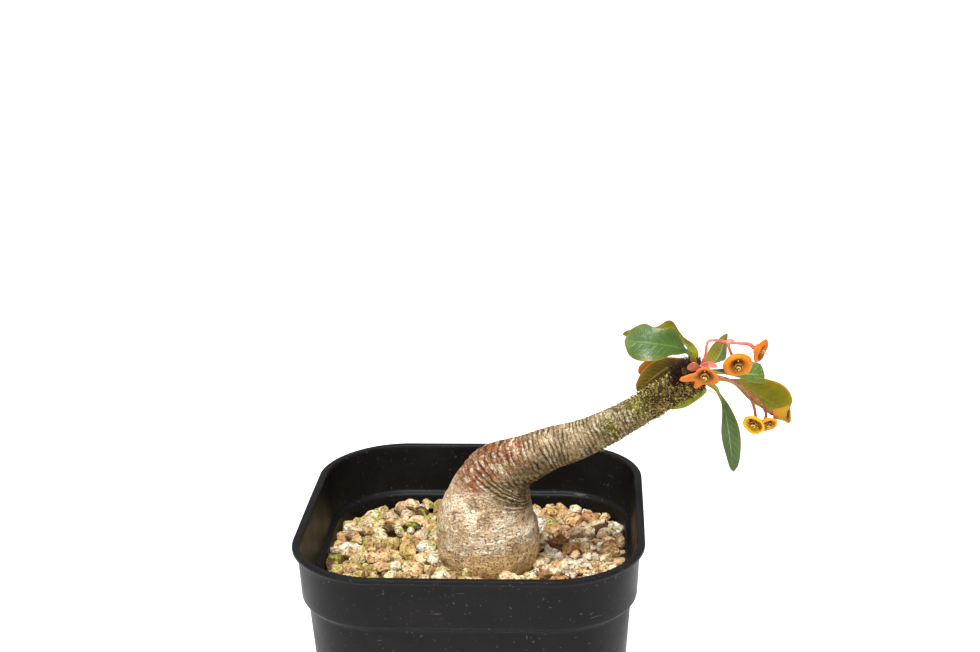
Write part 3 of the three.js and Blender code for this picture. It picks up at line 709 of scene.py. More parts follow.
def rise(value, low, high):
    """0 below low, 1 above high, and 3t^2 - 2t^3 between them."""
    t = np.clip((value - low) / (high - low), 0, 1)
    return t * t * (3 - 2 * t)


def noise(cell, seed, squash=(1, 1, 1)):
    """Random heights from -1 to 1 over the stem's surface, with one lump every cell."""
    return lumps(stem_rings * np.array(squash, float), cell, seed)


height = stem_rings[..., 2] - GRAVEL_TOP
east = stem_rings[..., 0] - AXIS[0]
slow, medium, quick, tiny = (noise(cell, 70 + n) for n, cell in enumerate((9, 3.4, 1.4, 0.7)))
# Leaf scars: ridges SCAR_PITCH apart, bent and broken by noise, with crumbs along them.
SCAR_PITCH, FOLD_PITCH = 1.22, 1.5
ringed = rise(travel + 2.5 * slow, 32.5, 39.5)
bent = 0.8 * noise(7, 51) + 0.3 * noise(2.4, 52) + 0.18 * tiny
crest = np.abs(np.sin(np.pi * (travel + bent) / SCAR_PITCH)) ** 0.45
fuzzy = rise(east + 1.8 * noise(3, 54), 39, 46)
strength = ringed * np.clip(0.72 + 0.8 * noise(2.4, 53), 0.1, 1.25) * (1 - 0.75 * fuzzy)
swell = 0.4 * strength * (crest - 0.75)
swell += 0.35 * (1 - ringed) * noise(11, 55) + 0.12 * noise(4.2, 56)
swell += (1 - ringed) * (0.1 * noise(3.5, 57, (1, 1, 4)) + 0.07 * quick + 0.05 * tiny)
swell += fuzzy * (0.3 * noise(1.3, 59) + 0.15 * tiny)
swell += ringed * (0.09 * noise(0.8, 61) + 0.06 * noise(0.55, 63))
# Wrinkles where the neck folds under the stem: close waves along the stem on its inner side.
inner_side = rise(spokes[..., 0] * 0.8 - spokes[..., 2] * 0.5 + 0.2 * medium, -0.5, 0.5)
folded = rise(travel, 33.5, 36.5) * (1 - rise(travel, 40, 45)) * inner_side
fold_wave = np.sin(2 * np.pi * (travel + 0.7 * bent) / FOLD_PITCH)
swell = (swell + 0.16 * folded * fold_wave) * rise(travel, 3, 8)
stem_points = stem_rings + swell[..., None] * spokes

SOIL_TAN, OCHRE, BEIGE = (0.78, 0.55, 0.28), (0.95, 0.68, 0.29), (0.68, 0.48, 0.28)
PALE_BARK, FLAKE, RUST = (0.74, 0.54, 0.33), (0.94, 0.80, 0.59), (0.38, 0.12, 0.045)
# The neck brown also paints shade under the stem, the pale stem colour paints a highlight on its
# top, and the groove colour paints shade in its grooves.
DEEP_RUST, NECK_BROWN_AND_SHADE, STEM_GREY = (0.22, 0.06, 0.028), (0.24, 0.16, 0.085), (0.47, 0.34, 0.18)
STEM_PAINTED_HIGHLIGHT, GROOVE_SHADE, MOSS = (0.84, 0.69, 0.44), (0.055, 0.033, 0.015), (0.20, 0.18, 0.015)
MOSS_PALE, FUZZ, FUZZ_DARK = (0.48, 0.43, 0.08), (0.30, 0.22, 0.04), (0.07, 0.037, 0.014)
CREAM, UMBER = (0.80, 0.70, 0.50), (0.075, 0.045, 0.02)

banded = noise(7, 74, (1, 1, 5))
girdle = [(travel + 0.6 * bent) * 3, spokes[..., 1] * 4, spokes[..., 2] * 4]
dashes = lumps(np.stack(girdle, -1), 1.15, 75)
sprinkle = noise(0.5, 76)
out_x, out_y, out_z = np.moveaxis(spokes, -1, 0)
upper_left = rise(-out_x * 0.8 + out_z * 0.7 + 0.3 * slow, 0.0, 0.4)
upper_left *= rise(-out_y + 0.6 * out_z + 0.3 * medium, -0.75, -0.3)
shoulder = rise(travel + 1.5 * medium, 34, 38) * (1 - rise(travel + 3 * quick, 47, 59))
shoulder = shoulder * upper_left
# Painted highlight: the upward-facing side of the ringed stem, less on the rust shoulder.
painted_top_light = rise(out_z, -0.3, 0.7) * ringed * (1 - 0.8 * shoulder)
mossy = rise(east + 5 * medium + 3 * quick, 31, 39) * (0.6 + 0.9 * medium + 0.7 * quick)
growing = rise(east, 24, 34)
damp = rise(2.2 - height + medium, 0, 1.6) * (0.4 + 0.6 * quick)
# Bark colours over the soil tan, each with its share at each point, laid one on another. Some
# layers paint light: a highlight on the stem's top, and shade under it and in its grooves.
BARK_AND_LIGHT_LAYERS = [
    (OCHRE, 0.5 + 1.2 * slow + 0.5 * quick),
    (BEIGE, rise(height + 3.5 * medium + 1.5 * quick, 3, 10)),
    (PALE_BARK, 0.85 * rise(height + 3 * slow + 2 * banded + 1.5 * quick, 6, 14)),
    (FLAKE, 0.9 * rise(medium + 0.7 * quick + 0.5 * banded + 0.5 * tiny, 0.05, 0.5)
     * rise(height + 2 * quick, 2, 12)),
    (NECK_BROWN_AND_SHADE, rise(-medium - 0.9 * tiny + 0.5 * banded, 0.45, 0.85)
     * (0.3 + 0.35 * rise(height, 8, 20))),
    (RUST, 0.6 * rise(quick - 0.6 * out_x - 0.5, 0.3, 0.8) * rise(height, 13, 19) * (1 - ringed)),
    (STEM_GREY, ringed),
    (NECK_BROWN_AND_SHADE, rise(travel, 36, 42) * (1 - rise(travel, 50, 60)) * (1 - upper_left)
     * (0.45 + 0.5 * medium)),
    (RUST, shoulder * rise(0.85 + medium + 0.6 * quick, 0.0, 0.5)),
    (DEEP_RUST, 0.6 * shoulder * rise(quick + tiny, 0.2, 0.8)),
    (FLAKE, 0.7 * shoulder * rise(dashes + 0.4 * tiny, 0.28, 0.5)),
    # Painted highlight: the stem's upper side laid paler.
    (STEM_PAINTED_HIGHLIGHT, 0.85 * painted_top_light * rise(medium + 0.8 * quick + 0.5 * tiny, -0.4, 0.5)),
    # Painted shade: the underside of the ringed stem darkened with the neck brown.
    (NECK_BROWN_AND_SHADE, 0.55 * ringed * rise(-out_z, 0.3, 0.9)),
    (OCHRE, 0.5 * ringed * rise(-out_z, -0.1, 0.5) * rise(quick, 0.1, 0.6)),
    (CREAM, 0.75 * (ringed + folded) * rise(dashes + 0.5 * tiny, 0.35, 0.65)),
    # Painted shade in the troughs of the fold wrinkles.
    (GROOVE_SHADE, 0.8 * folded * rise(-fold_wave + 0.8 * tiny, 0.25, 1.0)),
    (MOSS, mossy),
    (MOSS_PALE, np.clip(mossy, 0, 1) * rise(tiny, 0.0, 0.5)),
    (CREAM, 0.8 * growing * rise(sprinkle + 0.5 * tiny, 0.3, 0.75)),
    (UMBER, 0.85 * growing * rise(-sprinkle - 0.4 * quick, 0.3, 0.7)),
    # Painted shade in the grooves between the leaf scar ridges.
    (GROOVE_SHADE, 1.9 * np.clip(strength, 0, 1) * (1 - crest) ** 0.9 * (1 - 0.35 * growing)),
    (FUZZ, 0.85 * fuzzy),
    (FUZZ_DARK, fuzzy * rise(quick + 0.8 * tiny, -0.1, 0.5)),
    (MOSS, 0.5 * damp),
]
bark_light_and_shade = np.broadcast_to(np.array(SOIL_TAN), stem_rings.shape)
for colour, share in BARK_AND_LIGHT_LAYERS:
    bark_light_and_shade = bark_light_and_shade + (np.array(colour) - bark_light_and_shade) * np.clip(share, 0, 1)[..., None]


def slope(tree, value, factor, offset):
    """value * factor + offset, as one Math node."""
    inputs = {0: value, 1: factor, 2: offset}
    return add_node(tree, "ShaderNodeMath", inputs, operation="MULTIPLY_ADD").outputs[0]


def bark_and_groove_shade_finish():
    """Old papery bark: its laid-on tint, which holds painted light and shade, with pale scurf in
    level flakes, a net of thin dark cracks, dark specks and, where the value rings says so, fine
    dark lines round the stem as painted shade in its fine grooves."""
    finish, tree, shader = new_finish("ringed_bark_groove_shade", Specular_IOR_Level=0.15)
    tint = painted(tree, "tint")
    grain = mottle(tree, 2100, 0.42, 0.6, 4)
    scurf = mottle(tree, 800, 0.5, 0.6, 6, (1, 1, 2.2))
    specks = mottle(tree, 1900, 0.57, 0.63, 3)
    net = mottle(tree, 520, 0.0, 1.0, 6, (1, 1, 2.6))
    net = between(tree, sums(tree, "ABSOLUTE", sums(tree, "SUBTRACT", net, 0.5)), 0.022, 0.006)
    net = times(tree, net, mottle(tree, 330, 0.45, 0.6, 3))
    warp = slope(tree, mottle(tree, 700, 0.2, 0.8, 3), 9.0, 0.0)
    # Painted shade: fine dark lines round the stem, in its fine grooves.
    shaded_groove_lines = sums(tree, "SINE", slope(tree, painted(tree, "travel", "Fac"), 13.0, warp))
    shaded_groove_lines = times(tree, between(tree, shaded_groove_lines, 0.35, 0.95), painted(tree, "rings", "Fac"))
    dark, light = tinted(tree, tint, (0.36, 0.29, 0.2)), tinted(tree, tint, (1.28, 1.3, 1.32))
    colour = blend(tree, times(tree, scurf, 0.8), tint, light)
    colour = blend(tree, times(tree, grain, 0.32), colour, dark)
    colour = blend(tree, times(tree, shaded_groove_lines, 0.5), colour, dark)
    colour = blend(tree, times(tree, net, 0.75), colour, dark)
    colour = blend(tree, times(tree, specks, 0.7), colour, (0.10, 0.06, 0.03))
    coat(tree, shader, colour, between(tree, scurf, 0, 1, 0.85, 0.72))
    height = sums(tree, "ADD", times(tree, grain, 0.35), times(tree, scurf, 0.5))
    height = sums(tree, "SUBTRACT", height, sums(tree, "MAXIMUM", specks, net))
    height = sums(tree, "SUBTRACT", height, times(tree, shaded_groove_lines, 0.5))
    relief(tree, shader, height, 0.0004, 0.9)
    return finish


def with_ends(grid):
    """A value for each point of a closed tube: the grid's, then one for each end."""
    return np.concatenate([grid.reshape(-1, *grid.shape[2:]), grid[[0, -1], 0]])


points, faces = closed_tube(stem_points)
values = {"tint": with_ends(bark_light_and_shade), "travel": with_ends(travel),
          "rings": with_ends(ringed * (1 - fuzzy))}
stem = make_piece("caudex_and_stem", points, faces, bark_and_groove_shade_finish(), values)
stands_for(stem, "caudex_stem")

# ---- bristles -------------------------------------------------------------------------------
# Dry stipules: small scales and dark brown bristles standing thickly round the crown, with a
# long black beard on its upper side, and short mossy tufts further down the stem.

random = np.random.default_rng(77)


def bristles(count, nearest, farthest, length, thickness, lean, random):
    """Thin pointed tufts, as points and faces: each is a bent three-sided cone from a point
    of the stem between two reaches, leaning outwards and a little at random."""
    row_east = stem_rings[..., 0].mean(axis=1) - AXIS[0]
    weights = rise(row_east, nearest, nearest + 0.45 * (farthest - nearest))
    weights = weights * (stem_radii + 0.4) * (row_east <= farthest + 4.5)
    towards = spokes @ np.array(lean) if any(lean) else np.ones(spokes.shape[:2])
    weights = (weights[:, None] * np.clip(towards, 0, 1)).ravel()
    chosen = random.choice(len(weights), count, p=weights / weights.sum())
    row, column = np.divmod(chosen, STEM_COLUMNS)
    foot, out = stem_points[row, column], spokes[row, column].copy()
    beyond = np.clip((row_east[row] - REACH) / STEM_RADIUS, 0, 1)[:, None]
    out = out * (1 - 0.8 * beyond) + heading * beyond
    out = out + random.normal(0, 0.45, (count, 3)) + 0.25 * heading + np.array(lean)
    out /= np.linalg.norm(out, axis=1, keepdims=True)
    tall = random.uniform(*length, count)[:, None]
    side = np.cross(out, random.normal(size=(count, 3)))
    side /= np.linalg.norm(side, axis=1, keepdims=True)
    front = np.cross(out, side)
    bend = side * random.normal(0, 0.25, (count, 1)) * tall
    wide = random.uniform(*thickness, count)[:, None]
    angle = np.arange(3) * 2 * np.pi / 3
    circle = side[:, None] * np.cos(angle)[:, None] + front[:, None] * np.sin(angle)[:, None]
    base = foot[:, None] - 0.25 * out[:, None] + wide[:, None] * circle
    middle = foot[:, None] + (0.5 * tall * out + 0.3 * bend)[:, None] + 0.6 * wide[:, None] * circle
    tip = (foot + tall * out + bend)[:, None]
    points = np.concatenate([base, middle, tip], axis=1)
    one = np.array([[0, 1, 4], [0, 4, 3], [1, 2, 5], [1, 5, 4], [2, 0, 3], [2, 3, 5],
                    [3, 4, 6], [4, 5, 6], [5, 3, 6], [0, 2, 1]])
    faces = one + 7 * np.arange(count)[:, None, None]
    return points.reshape(-1, 3), [faces.reshape(-1, 3)]


def bristle_finish():
    """Dry scale-like bristles: the tint of each, a little mottled."""
    finish, tree, shader = new_finish("dry_bristle", Roughness=0.85, Specular_IOR_Level=0.12)
    worn = mottle(tree, 1800, 0.45, 0.6, 2)
    coat(tree, shader, blend(tree, worn, painted(tree, "tint"), (0.03, 0.016, 0.008)))
    return finish


BRISTLE_TINTS = np.array([(0.07, 0.035, 0.014), (0.26, 0.16, 0.035), (0.46, 0.34, 0.06),
                          (0.54, 0.46, 0.09), (0.85, 0.68, 0.34)])
BEARD_TINTS = np.array([(0.022, 0.010, 0.007), (0.04, 0.018, 0.012), (0.09, 0.04, 0.02)])
MOSS_TINTS = np.array([(0.20, 0.19, 0.025), (0.34, 0.31, 0.05), (0.46, 0.42, 0.12),
                       (0.10, 0.07, 0.025), (0.70, 0.62, 0.42)])
for name, span, shape, tints in (  # count and span; length, thickness and lean
    ("crown_bristles", (1700, 39.0, 54.0), ((0.3, 1.1), (0.14, 0.3), (0, 0, 0)), BRISTLE_TINTS),
    ("crown_scales", (420, 48.0, 54.5), ((0.5, 1.4), (0.14, 0.3), (0, 0, 0)), BEARD_TINTS),
    ("crown_beard", (900, 50.0, 56.0), ((1.2, 3.2), (0.12, 0.24), (-0.45, 0, 0.9)), BEARD_TINTS),
    ("moss_tufts", (2200, 25.0, 46.0), ((0.12, 0.45), (0.1, 0.2), (0, 0, 0)), MOSS_TINTS),
):
    count = span[0]
    points, faces = bristles(*span, *shape, random)
    tint = np.repeat(tints[random.integers(0, len(tints), count)], 7, axis=0)
    tufts = make_piece(name, points, faces, bristle_finish(), {"tint": tint})
    stands_for(tufts, "caudex_stem")

# ---- leaves ---------------------------------------------------------------------------------
# Ten leathery leaves in a whorl at the crown, each a thin blade on a short flattened petiole,
# glossy green above, lime to olive below, with a fine red margin. Each is cupped and wavy. The
# lime is brightened as painted light shining through the leaves, and one brown olive underside
# is darkened as painted shade.

GAP = 0.3
LEAF_THICKNESS = 0.42


def crown_seat(direction, clearance):
    """Where a petiole or stalk meets the crown, in a direction from its centre."""
    direction = np.array(direction, float)
    return CROWN + direction / np.linalg.norm(direction) * (STEM_RADIUS + GAP + clearance)


def leaf_blade(leaf, rows=72, columns=64):
    """A closed thin sheet along the midrib. At share u of the length the blade's two halves
    are the given widths, its upper side looks towards face, and at v across it is lifted by
    cup * v^2 and a ripple that grows towards the margin. Returns rings, u, v and side."""
    start = crown_seat(leaf["seat"], 0.15)
    route = np.vstack([start, start + np.array(leaf["midrib"], float)])
    centres = smooth_curve(route, even_shares(route, rows))
    u = np.linspace(0, 1, rows)
    along = np.gradient(centres, axis=0)
    along /= np.linalg.norm(along, axis=1, keepdims=True)
    looks = smooth_curve(np.array(leaf["face"], float), u)
    side = np.cross(along, looks)
    side /= np.linalg.norm(side, axis=1, keepdims=True)
    normal = np.cross(side, along)
    widths = [smooth_curve(np.array(leaf[edge])[:, None], u)[:, 0] for edge in ("left", "right")]
    taper = np.sqrt(np.clip((1 - u) / 0.05, 0, 1))
    petiole = 0.45 * (1 - rise(u, 0.1, 0.3))
    left, right = (np.maximum(width, 0) * taper + petiole + 0.03 for width in widths)
    loop = np.linspace(0, 2 * np.pi, columns, endpoint=False)
    v = -np.cos(loop)
    upper = np.where(np.sin(loop) >= 0, 1.0, -1.0)
    half = np.where(v < 0, left[:, None], right[:, None])
    grown = np.minimum(half / 3.0, 1.6)
    cup = smooth_curve(np.array(leaf["cup"], float)[:, None], u)
    ripple = leaf["wave"] * grown * v**2 * np.sin(
        leaf["waves"] * 2 * np.pi * u[:, None] + np.where(v > 0, 2.2, 0) + leaf["phase"])
    thick = LEAF_THICKNESS / 2 * (0.35 + 0.65 * np.sqrt(np.abs(np.sin(loop))))
    thick = thick * (1 + 1.1 * (1 - rise(u, 0.08, 0.26))[:, None])
    thick = thick * np.sqrt(np.abs(np.sin(loop))).clip(0.0, 1)
    rib = np.exp(-((v / 0.07) ** 2)) * ((1 - 0.7 * u) * rise(u, 0.03, 0.2))[:, None]
    lift = upper * thick + np.where(upper < 0, -0.22 * rib, -0.1 * rib)
    lift = lift + cup * v**2 * half + ripple
    off = np.abs(v)
    lift = lift + 0.07 * grown * np.sin(26 * u[:, None] - 9 * off) * off * (1 - off)
    rings = centres[:, None] + (v * half)[..., None] * side[:, None]
    return rings + lift[..., None] * normal[:, None], u, v, upper


def along_across(tree):
    """The two numbers of the UV map."""
    uv = add_node(tree, "ShaderNodeUVMap", uv_map="UVMap").outputs[0]
    split = add_node(tree, "ShaderNodeSeparateXYZ", {0: uv})
    return split.outputs[0], split.outputs[1]


def make_leaf_group():
    """Shader group: the colour of a leaf. From the UV map, which runs along and across the
    blade, it works out midrib, side veins and margin, and lays them over the mottled top or
    underside colour. It also puts out the height of the veins."""
    group = bpy.data.node_groups.new("leaf_colouring", "ShaderNodeTree")
    for title in ("Top", "Under", "Vein", "Margin", "Blush", "Petiole"):
        group.interface.new_socket(title, in_out="INPUT", socket_type="NodeSocketColor")
    for title in ("Tip", "Blush Amount"):
        group.interface.new_socket(title, in_out="INPUT", socket_type="NodeSocketFloat")
    group.interface.new_socket("Color", in_out="OUTPUT", socket_type="NodeSocketColor")
    group.interface.new_socket("Height", in_out="OUTPUT", socket_type="NodeSocketFloat")
    entry = group.nodes.new("NodeGroupInput").outputs
    along, across = along_across(group)
    off = sums(group, "ABSOLUTE", slope(group, across, 2.0, -1.0))
    colour = blend(group, painted(group, "upper", "Fac"), entry["Under"], entry["Top"])
    patches = times(group, mottle(group, 260, 0.35, 0.7, 5), 0.75)
    colour = blend(group, patches, colour, tinted(group, colour, (0.58, 0.62, 0.45)))
    bowed = sums(group, "SUBTRACT", along, times(group, off, 0.16))
    wobble = times(group, mottle(group, 500, 0.3, 0.7, 2), 0.02)
    wave = slope(group, sums(group, "SUBTRACT", bowed, wobble), 82.0, 0.5)
    wave = sums(group, "SINE", wave)
    veins = times(group, between(group, wave, 0.72, 1.0), between(group, off, 0.9, 0.5))
    colour = blend(group, times(group, veins, 0.22), colour, entry["Vein"])
    rib = times(group, between(group, off, 0.075, 0.02), between(group, along, 1.0, 0.7))
    colour = blend(group, times(group, rib, 0.75), colour, entry["Vein"])
    blush = times(group, between(group, along, entry["Tip"], 1.0),
                 mottle(group, 300, 0.25, 0.6, 4))
    near_edge = times(group, between(group, off, 0.6, 1.0), 0.5)
    blush = times(group, sums(group, "ADD", blush, near_edge), entry["Blush Amount"])
    colour = blend(group, blush, colour, entry["Blush"])
    colour = blend(group, between(group, along, 0.3, 0.14), colour, entry["Petiole"])
    margin = between(group, off, 0.92, 0.975)
    colour = blend(group, times(group, margin, 0.9), colour, entry["Margin"])
    exit_node = group.nodes.new("NodeGroupOutput")
    group.links.new(colour, exit_node.inputs["Color"])
    group.links.new(sums(group, "ADD", times(group, veins, 0.45), rib),
                    exit_node.inputs["Height"])
    return group


LEAF_COLOURING = make_leaf_group()


def leaf_finish(name, leaf):
    """Waxy leaf skin in the leaf's own top, under, vein, margin, blush and petiole colours."""
    finish, tree, shader = new_finish(name, Specular_IOR_Level=leaf["gloss"])
    placed = tree.nodes.new("ShaderNodeGroup")
    placed.node_tree = LEAF_COLOURING
    colours = [*leaf["look"][:5], leaf["petiole"]]
    for socket, colour in zip(("Top", "Under", "Vein", "Margin", "Blush", "Petiole"), colours):
        placed.inputs[socket].default_value = rgba(colour)
    for socket, value in zip(("Tip", "Blush Amount"), leaf["look"][5:]):
        placed.inputs[socket].default_value = value
    pores = mottle(tree, 1900, 0.35, 0.65, 3)
    rough = between(tree, pores, 0, 1, leaf["rough"] - 0.05, leaf["rough"] + 0.08)
    coat(tree, shader, placed.outputs["Color"], rough)
    height = sums(tree, "ADD", times(tree, mottle(tree, 330, 0.3, 0.7, 3), 0.5),
                  times(tree, placed.outputs["Height"], 0.4))
    relief(tree, shader, height, 0.0003, 0.7)
    return finish


GREEN, DEEP_GREEN = (0.052, 0.098, 0.016), (0.055, 0.105, 0.016)
BLUE_GREEN = (0.062, 0.118, 0.024)
# The lime is leaf colour brightened as painted light shining through the leaves.
LIME_AND_PAINTED_BACKLIGHT, OLIVE, SHADED_BROWN_OLIVE = (0.27, 0.29, 0.008), (0.20, 0.17, 0.006), (0.16, 0.095, 0.016)
VEIN, PALE_VEIN, RED_EDGE = (0.095, 0.16, 0.034), (0.40, 0.32, 0.10), (0.36, 0.12, 0.05)
ORANGE, AMBER = (0.45, 0.14, 0.012), (0.46, 0.22, 0.015)
# Each leaf: the direction of its seat on the crown, its midrib from there, where its face
# looks, its half widths, its cup and ripple, and its colours from top to blush amount.
LEAVES = [
    dict(seat=(0.26, -0.28, 0.93),
         midrib=[(-2.2, -2.8, 4.7), (-8.7, -6.3, 7.7), (-18.6, -6.3, 8.7)],
         face=[(-0.3, -0.6, 0.6), (-0.1, -0.8, 0.5)],
         left=[0, 0.3, 0.5, 0.9, 1.8, 2.4, 4.0, 4.8, 4.9, 4.1, 1.9],
         right=[0, 0.3, 0.4, 0.6, 3.1, 4.8, 4.1, 4.6, 5.4, 4.1, 1.8],
         cup=[0.3, 0.15, 0.0, 0.05], wave=0.6, waves=1.7, phase=0.4, rough=0.36, gloss=0.3,
         look=(GREEN, LIME_AND_PAINTED_BACKLIGHT, VEIN, (0.22, 0.10, 0.04), LIME_AND_PAINTED_BACKLIGHT, 0.9, 0.3), petiole=(0.27, 0.25, 0.008)),
    dict(seat=(0.32, 0.3, 0.9), midrib=[(-2.1, 2.2, 4.6), (-8.7, 5.2, 6.3), (-19.1, 5.2, 6.2)],
         face=[(0.3, 0.6, 0.6), (0.1, 0.8, 0.5)],
         left=[0, 1.0, 1.5, 2.1, 6.2, 5.3, 2.6, 1.6, 1.8, 1.9, 1.2],
         right=[0, 1.6, 3.2, 4.0, 3.7, 3.0, 2.8, 2.6, 2.4, 1.8, 1.0],
         cup=[0.1, 0.1, 0.1], wave=0.5, waves=1.5, phase=2.0, rough=0.42, gloss=0.15,
         look=(GREEN, LIME_AND_PAINTED_BACKLIGHT, LIME_AND_PAINTED_BACKLIGHT, RED_EDGE, GREEN, 0.75, 0.8), petiole=LIME_AND_PAINTED_BACKLIGHT),
    dict(seat=(-0.05, 0.4, 0.91), midrib=[(-5.6, 3.5, -2.4), (-13.8, 4.5, -9.4)],
         face=[(0, 0.9, 0.4), (0.1, 0.9, 0.3)],
         left=[0, 0.8, 1.7, 2.6, 3.3, 3.6, 3.6, 3.3, 2.7, 1.9, 0.8],
         right=[0, 0.6, 1.3, 2.1, 2.8, 3.3, 3.6, 3.4, 2.8, 1.9, 0.7],
         cup=[0.15, 0.1], wave=0.25, waves=1.2, phase=1.0, rough=0.4, gloss=0.12,
         # Painted shade: this leaf's underside is a darkened brown olive.
         look=(DEEP_GREEN, SHADED_BROWN_OLIVE, PALE_VEIN, ORANGE, OLIVE, 0.5, 0.5), petiole=OLIVE),
    dict(seat=(-0.05, 0.96, 0.25), midrib=[(-5.4, 6.6, -1.2), (-13.2, 9.8, -4.4)],
         face=[(0, 0.9, 0.4), (0.1, 0.9, 0.3)],
         left=[0, 1.0, 2.8, 3.5, 3.0, 1.2], right=[0, 1.0, 2.7, 3.3, 2.8, 1.2],
         cup=[0.1, 0.1], wave=0.25, waves=1.2, phase=0.0, rough=0.45, gloss=0.15,
         look=(OLIVE, ORANGE, AMBER, RED_EDGE, AMBER, 0.5, 0.5), petiole=OLIVE),
    dict(seat=(0.43, 0.76, -0.48), midrib=[(-1.9, 3.3, -4.4), (-6.9, 6.3, -10)],
         face=[(0.3, 0.9, 0.3), (0.3, 0.9, 0.3)],
         left=[0, 0.8, 1.6, 2.3, 2.7, 2.9, 2.9, 2.6, 2.1, 1.4, 0.6],
         right=[0, 2.4, 3.2, 3.2, 3.0, 2.8, 2.7, 2.6, 2.2, 1.4, 0.6],
         cup=[0.1, 0.1], wave=0.2, waves=1.0, phase=0.0, rough=0.42, gloss=0.12,
         look=(DEEP_GREEN, (0.22, 0.26, 0.008), LIME_AND_PAINTED_BACKLIGHT, RED_EDGE, LIME_AND_PAINTED_BACKLIGHT, 0.5, 0.3), petiole=LIME_AND_PAINTED_BACKLIGHT),
    dict(seat=(0.92, -0.35, -0.16), midrib=[(3.1, -2, -2.3), (5.3, -3, -10.4), (7.2, -3, -23.5)],
         face=[(0.6, 0.75, 0.2), (0.8, -0.5, 0.2), (0.2, -0.9, 0.1), (0.2, -0.9, 0)],
         left=[0, 0.4, 1.0, 2.1, 2.7, 3.0, 3.0, 2.8, 2.4, 1.8, 0.8],
         right=[0, 0.5, 0.7, 1.2, 1.9, 2.3, 2.2, 1.9, 1.5, 1.1, 0.6],
         cup=[0.25, 0.15, 0.2], wave=0.12, waves=1.5, phase=0.0, rough=0.34, gloss=0.25,
         look=((0.052, 0.092, 0.02), LIME_AND_PAINTED_BACKLIGHT, (0.22, 0.27, 0.12), (0.16, 0.11, 0.03), LIME_AND_PAINTED_BACKLIGHT, 0.97, 0.2),
         petiole=(0.22, 0.25, 0.02)),
    dict(seat=(0.61, 0.51, 0.61), midrib=[(4.5, 3.5, 0.9), (7.0, 5.4, 7.3)],
         face=[(-0.7, -0.3, 0.5), (-0.7, -0.3, 0.5)],
         left=[0, 0.6, 1.6, 3.0, 4.2, 4.8, 4.8, 4.2, 3.1, 1.9, 0.6],
         right=[0, 0.7, 2.0, 3.2, 3.8, 3.8, 3.4, 2.7, 1.9, 1.1, 0.4],
         cup=[0.15, 0.12], wave=0.1, waves=1.0, phase=0.0, rough=0.36, gloss=0.25, rolled=True,
         look=(BLUE_GREEN, (0.17, 0.15, 0.010), PALE_VEIN, RED_EDGE, LIME_AND_PAINTED_BACKLIGHT, 0.97, 0.2),
         petiole=LIME_AND_PAINTED_BACKLIGHT),
    dict(seat=(0.89, 0.28, 0.34), midrib=[(8.1, 3.3, -1.7), (15.7, 5.3, -2.8)],
         face=[(0, 0.2, 0.9), (-0.3, -0.7, 0.7)],
         left=[0, 1.5, 2.3, 3.3, 4.0, 2.7], right=[0, 0.9, 2.1, 2.8, 3.2, 2.5],
         cup=[0.2, 0.15], wave=0.2, waves=1.0, phase=1.0, rough=0.36, gloss=0.25,
         look=((0.068, 0.14, 0.022), LIME_AND_PAINTED_BACKLIGHT, PALE_VEIN, RED_EDGE, LIME_AND_PAINTED_BACKLIGHT, 0.97, 0.2), petiole=LIME_AND_PAINTED_BACKLIGHT),
    dict(seat=(0.89, 0.46, -0.04), midrib=[(9.3, 4.6, -3.6), (15.8, 6.6, -8), (22.4, 7.6, -12.6)],
         face=[(0.2, 0.6, 0.8), (0.2, 0.9, 0.3)],
         left=[0, 0.4, 0.7, 1.2, 1.9, 2.8, 3.6, 4.2, 4.2, 3.2, 1.4],
         right=[0, 0.4, 0.9, 2.2, 3.8, 5.2, 6.0, 6.4, 6.2, 5.0, 2.6],
         cup=[0.2, 0.1, 0.1], wave=0.35, waves=1.2, phase=0.6, rough=0.42, gloss=0.06,
         look=(DEEP_GREEN, (0.195, 0.18, 0.003), (0.25, 0.215, 0.014), AMBER, AMBER, 0.85, 0.35),
         petiole=LIME_AND_PAINTED_BACKLIGHT),
    dict(seat=(-0.3, -0.6, 0.75), midrib=[(-0.6, -0.7, 0.0), (-1.5, -0.9, 0.0)],
         face=[(0, -0.9, 0.5), (0, -0.9, 0.5)],
         left=[0, 0.5, 0.8, 0.6], right=[0, 0.5, 0.8, 0.6],
         cup=[0.3, 0.3], wave=0.05, waves=1.0, phase=0.0, rough=0.4, gloss=0.2,
         look=((0.05, 0.08, 0.03), OLIVE, PALE_VEIN, RED_EDGE, RED_EDGE, 0.5, 0.5), petiole=OLIVE),
]
for number, leaf in enumerate(LEAVES, 1):
    rings, u, v, upper = leaf_blade(leaf)
    points, faces = closed_tube(rings)
    grid = np.broadcast_to(u[:, None], rings.shape[:2])
    uv = np.stack([grid, np.broadcast_to(v / 2 + 0.5, rings.shape[:2])], -1).reshape(-1, 2)
    uv = np.vstack([uv, [0, 0.5], [1, 0.5]])
    upper = upper * np.where((v < 0) & leaf.get("rolled", False), -1, 1)
    face_up = np.broadcast_to(upper / 2 + 0.5, rings.shape[:2]).reshape(-1)
    values = {"upper": np.concatenate([face_up, [0.5, 0.5]])}
    finish = leaf_finish(f"leaf_skin_{number}", leaf)
    blade = make_piece(f"leaf_blade_{number}", points, faces, finish, values, uv)
    stands_for(blade, f"leaf_{number}")

# ---- flower stalks --------------------------------------------------------------------------
# Three branched stalks, smooth and fleshy, coral pink turning dark red where the longest one
# arches over the leaves. They swell at each joint and carry small scale bracts.

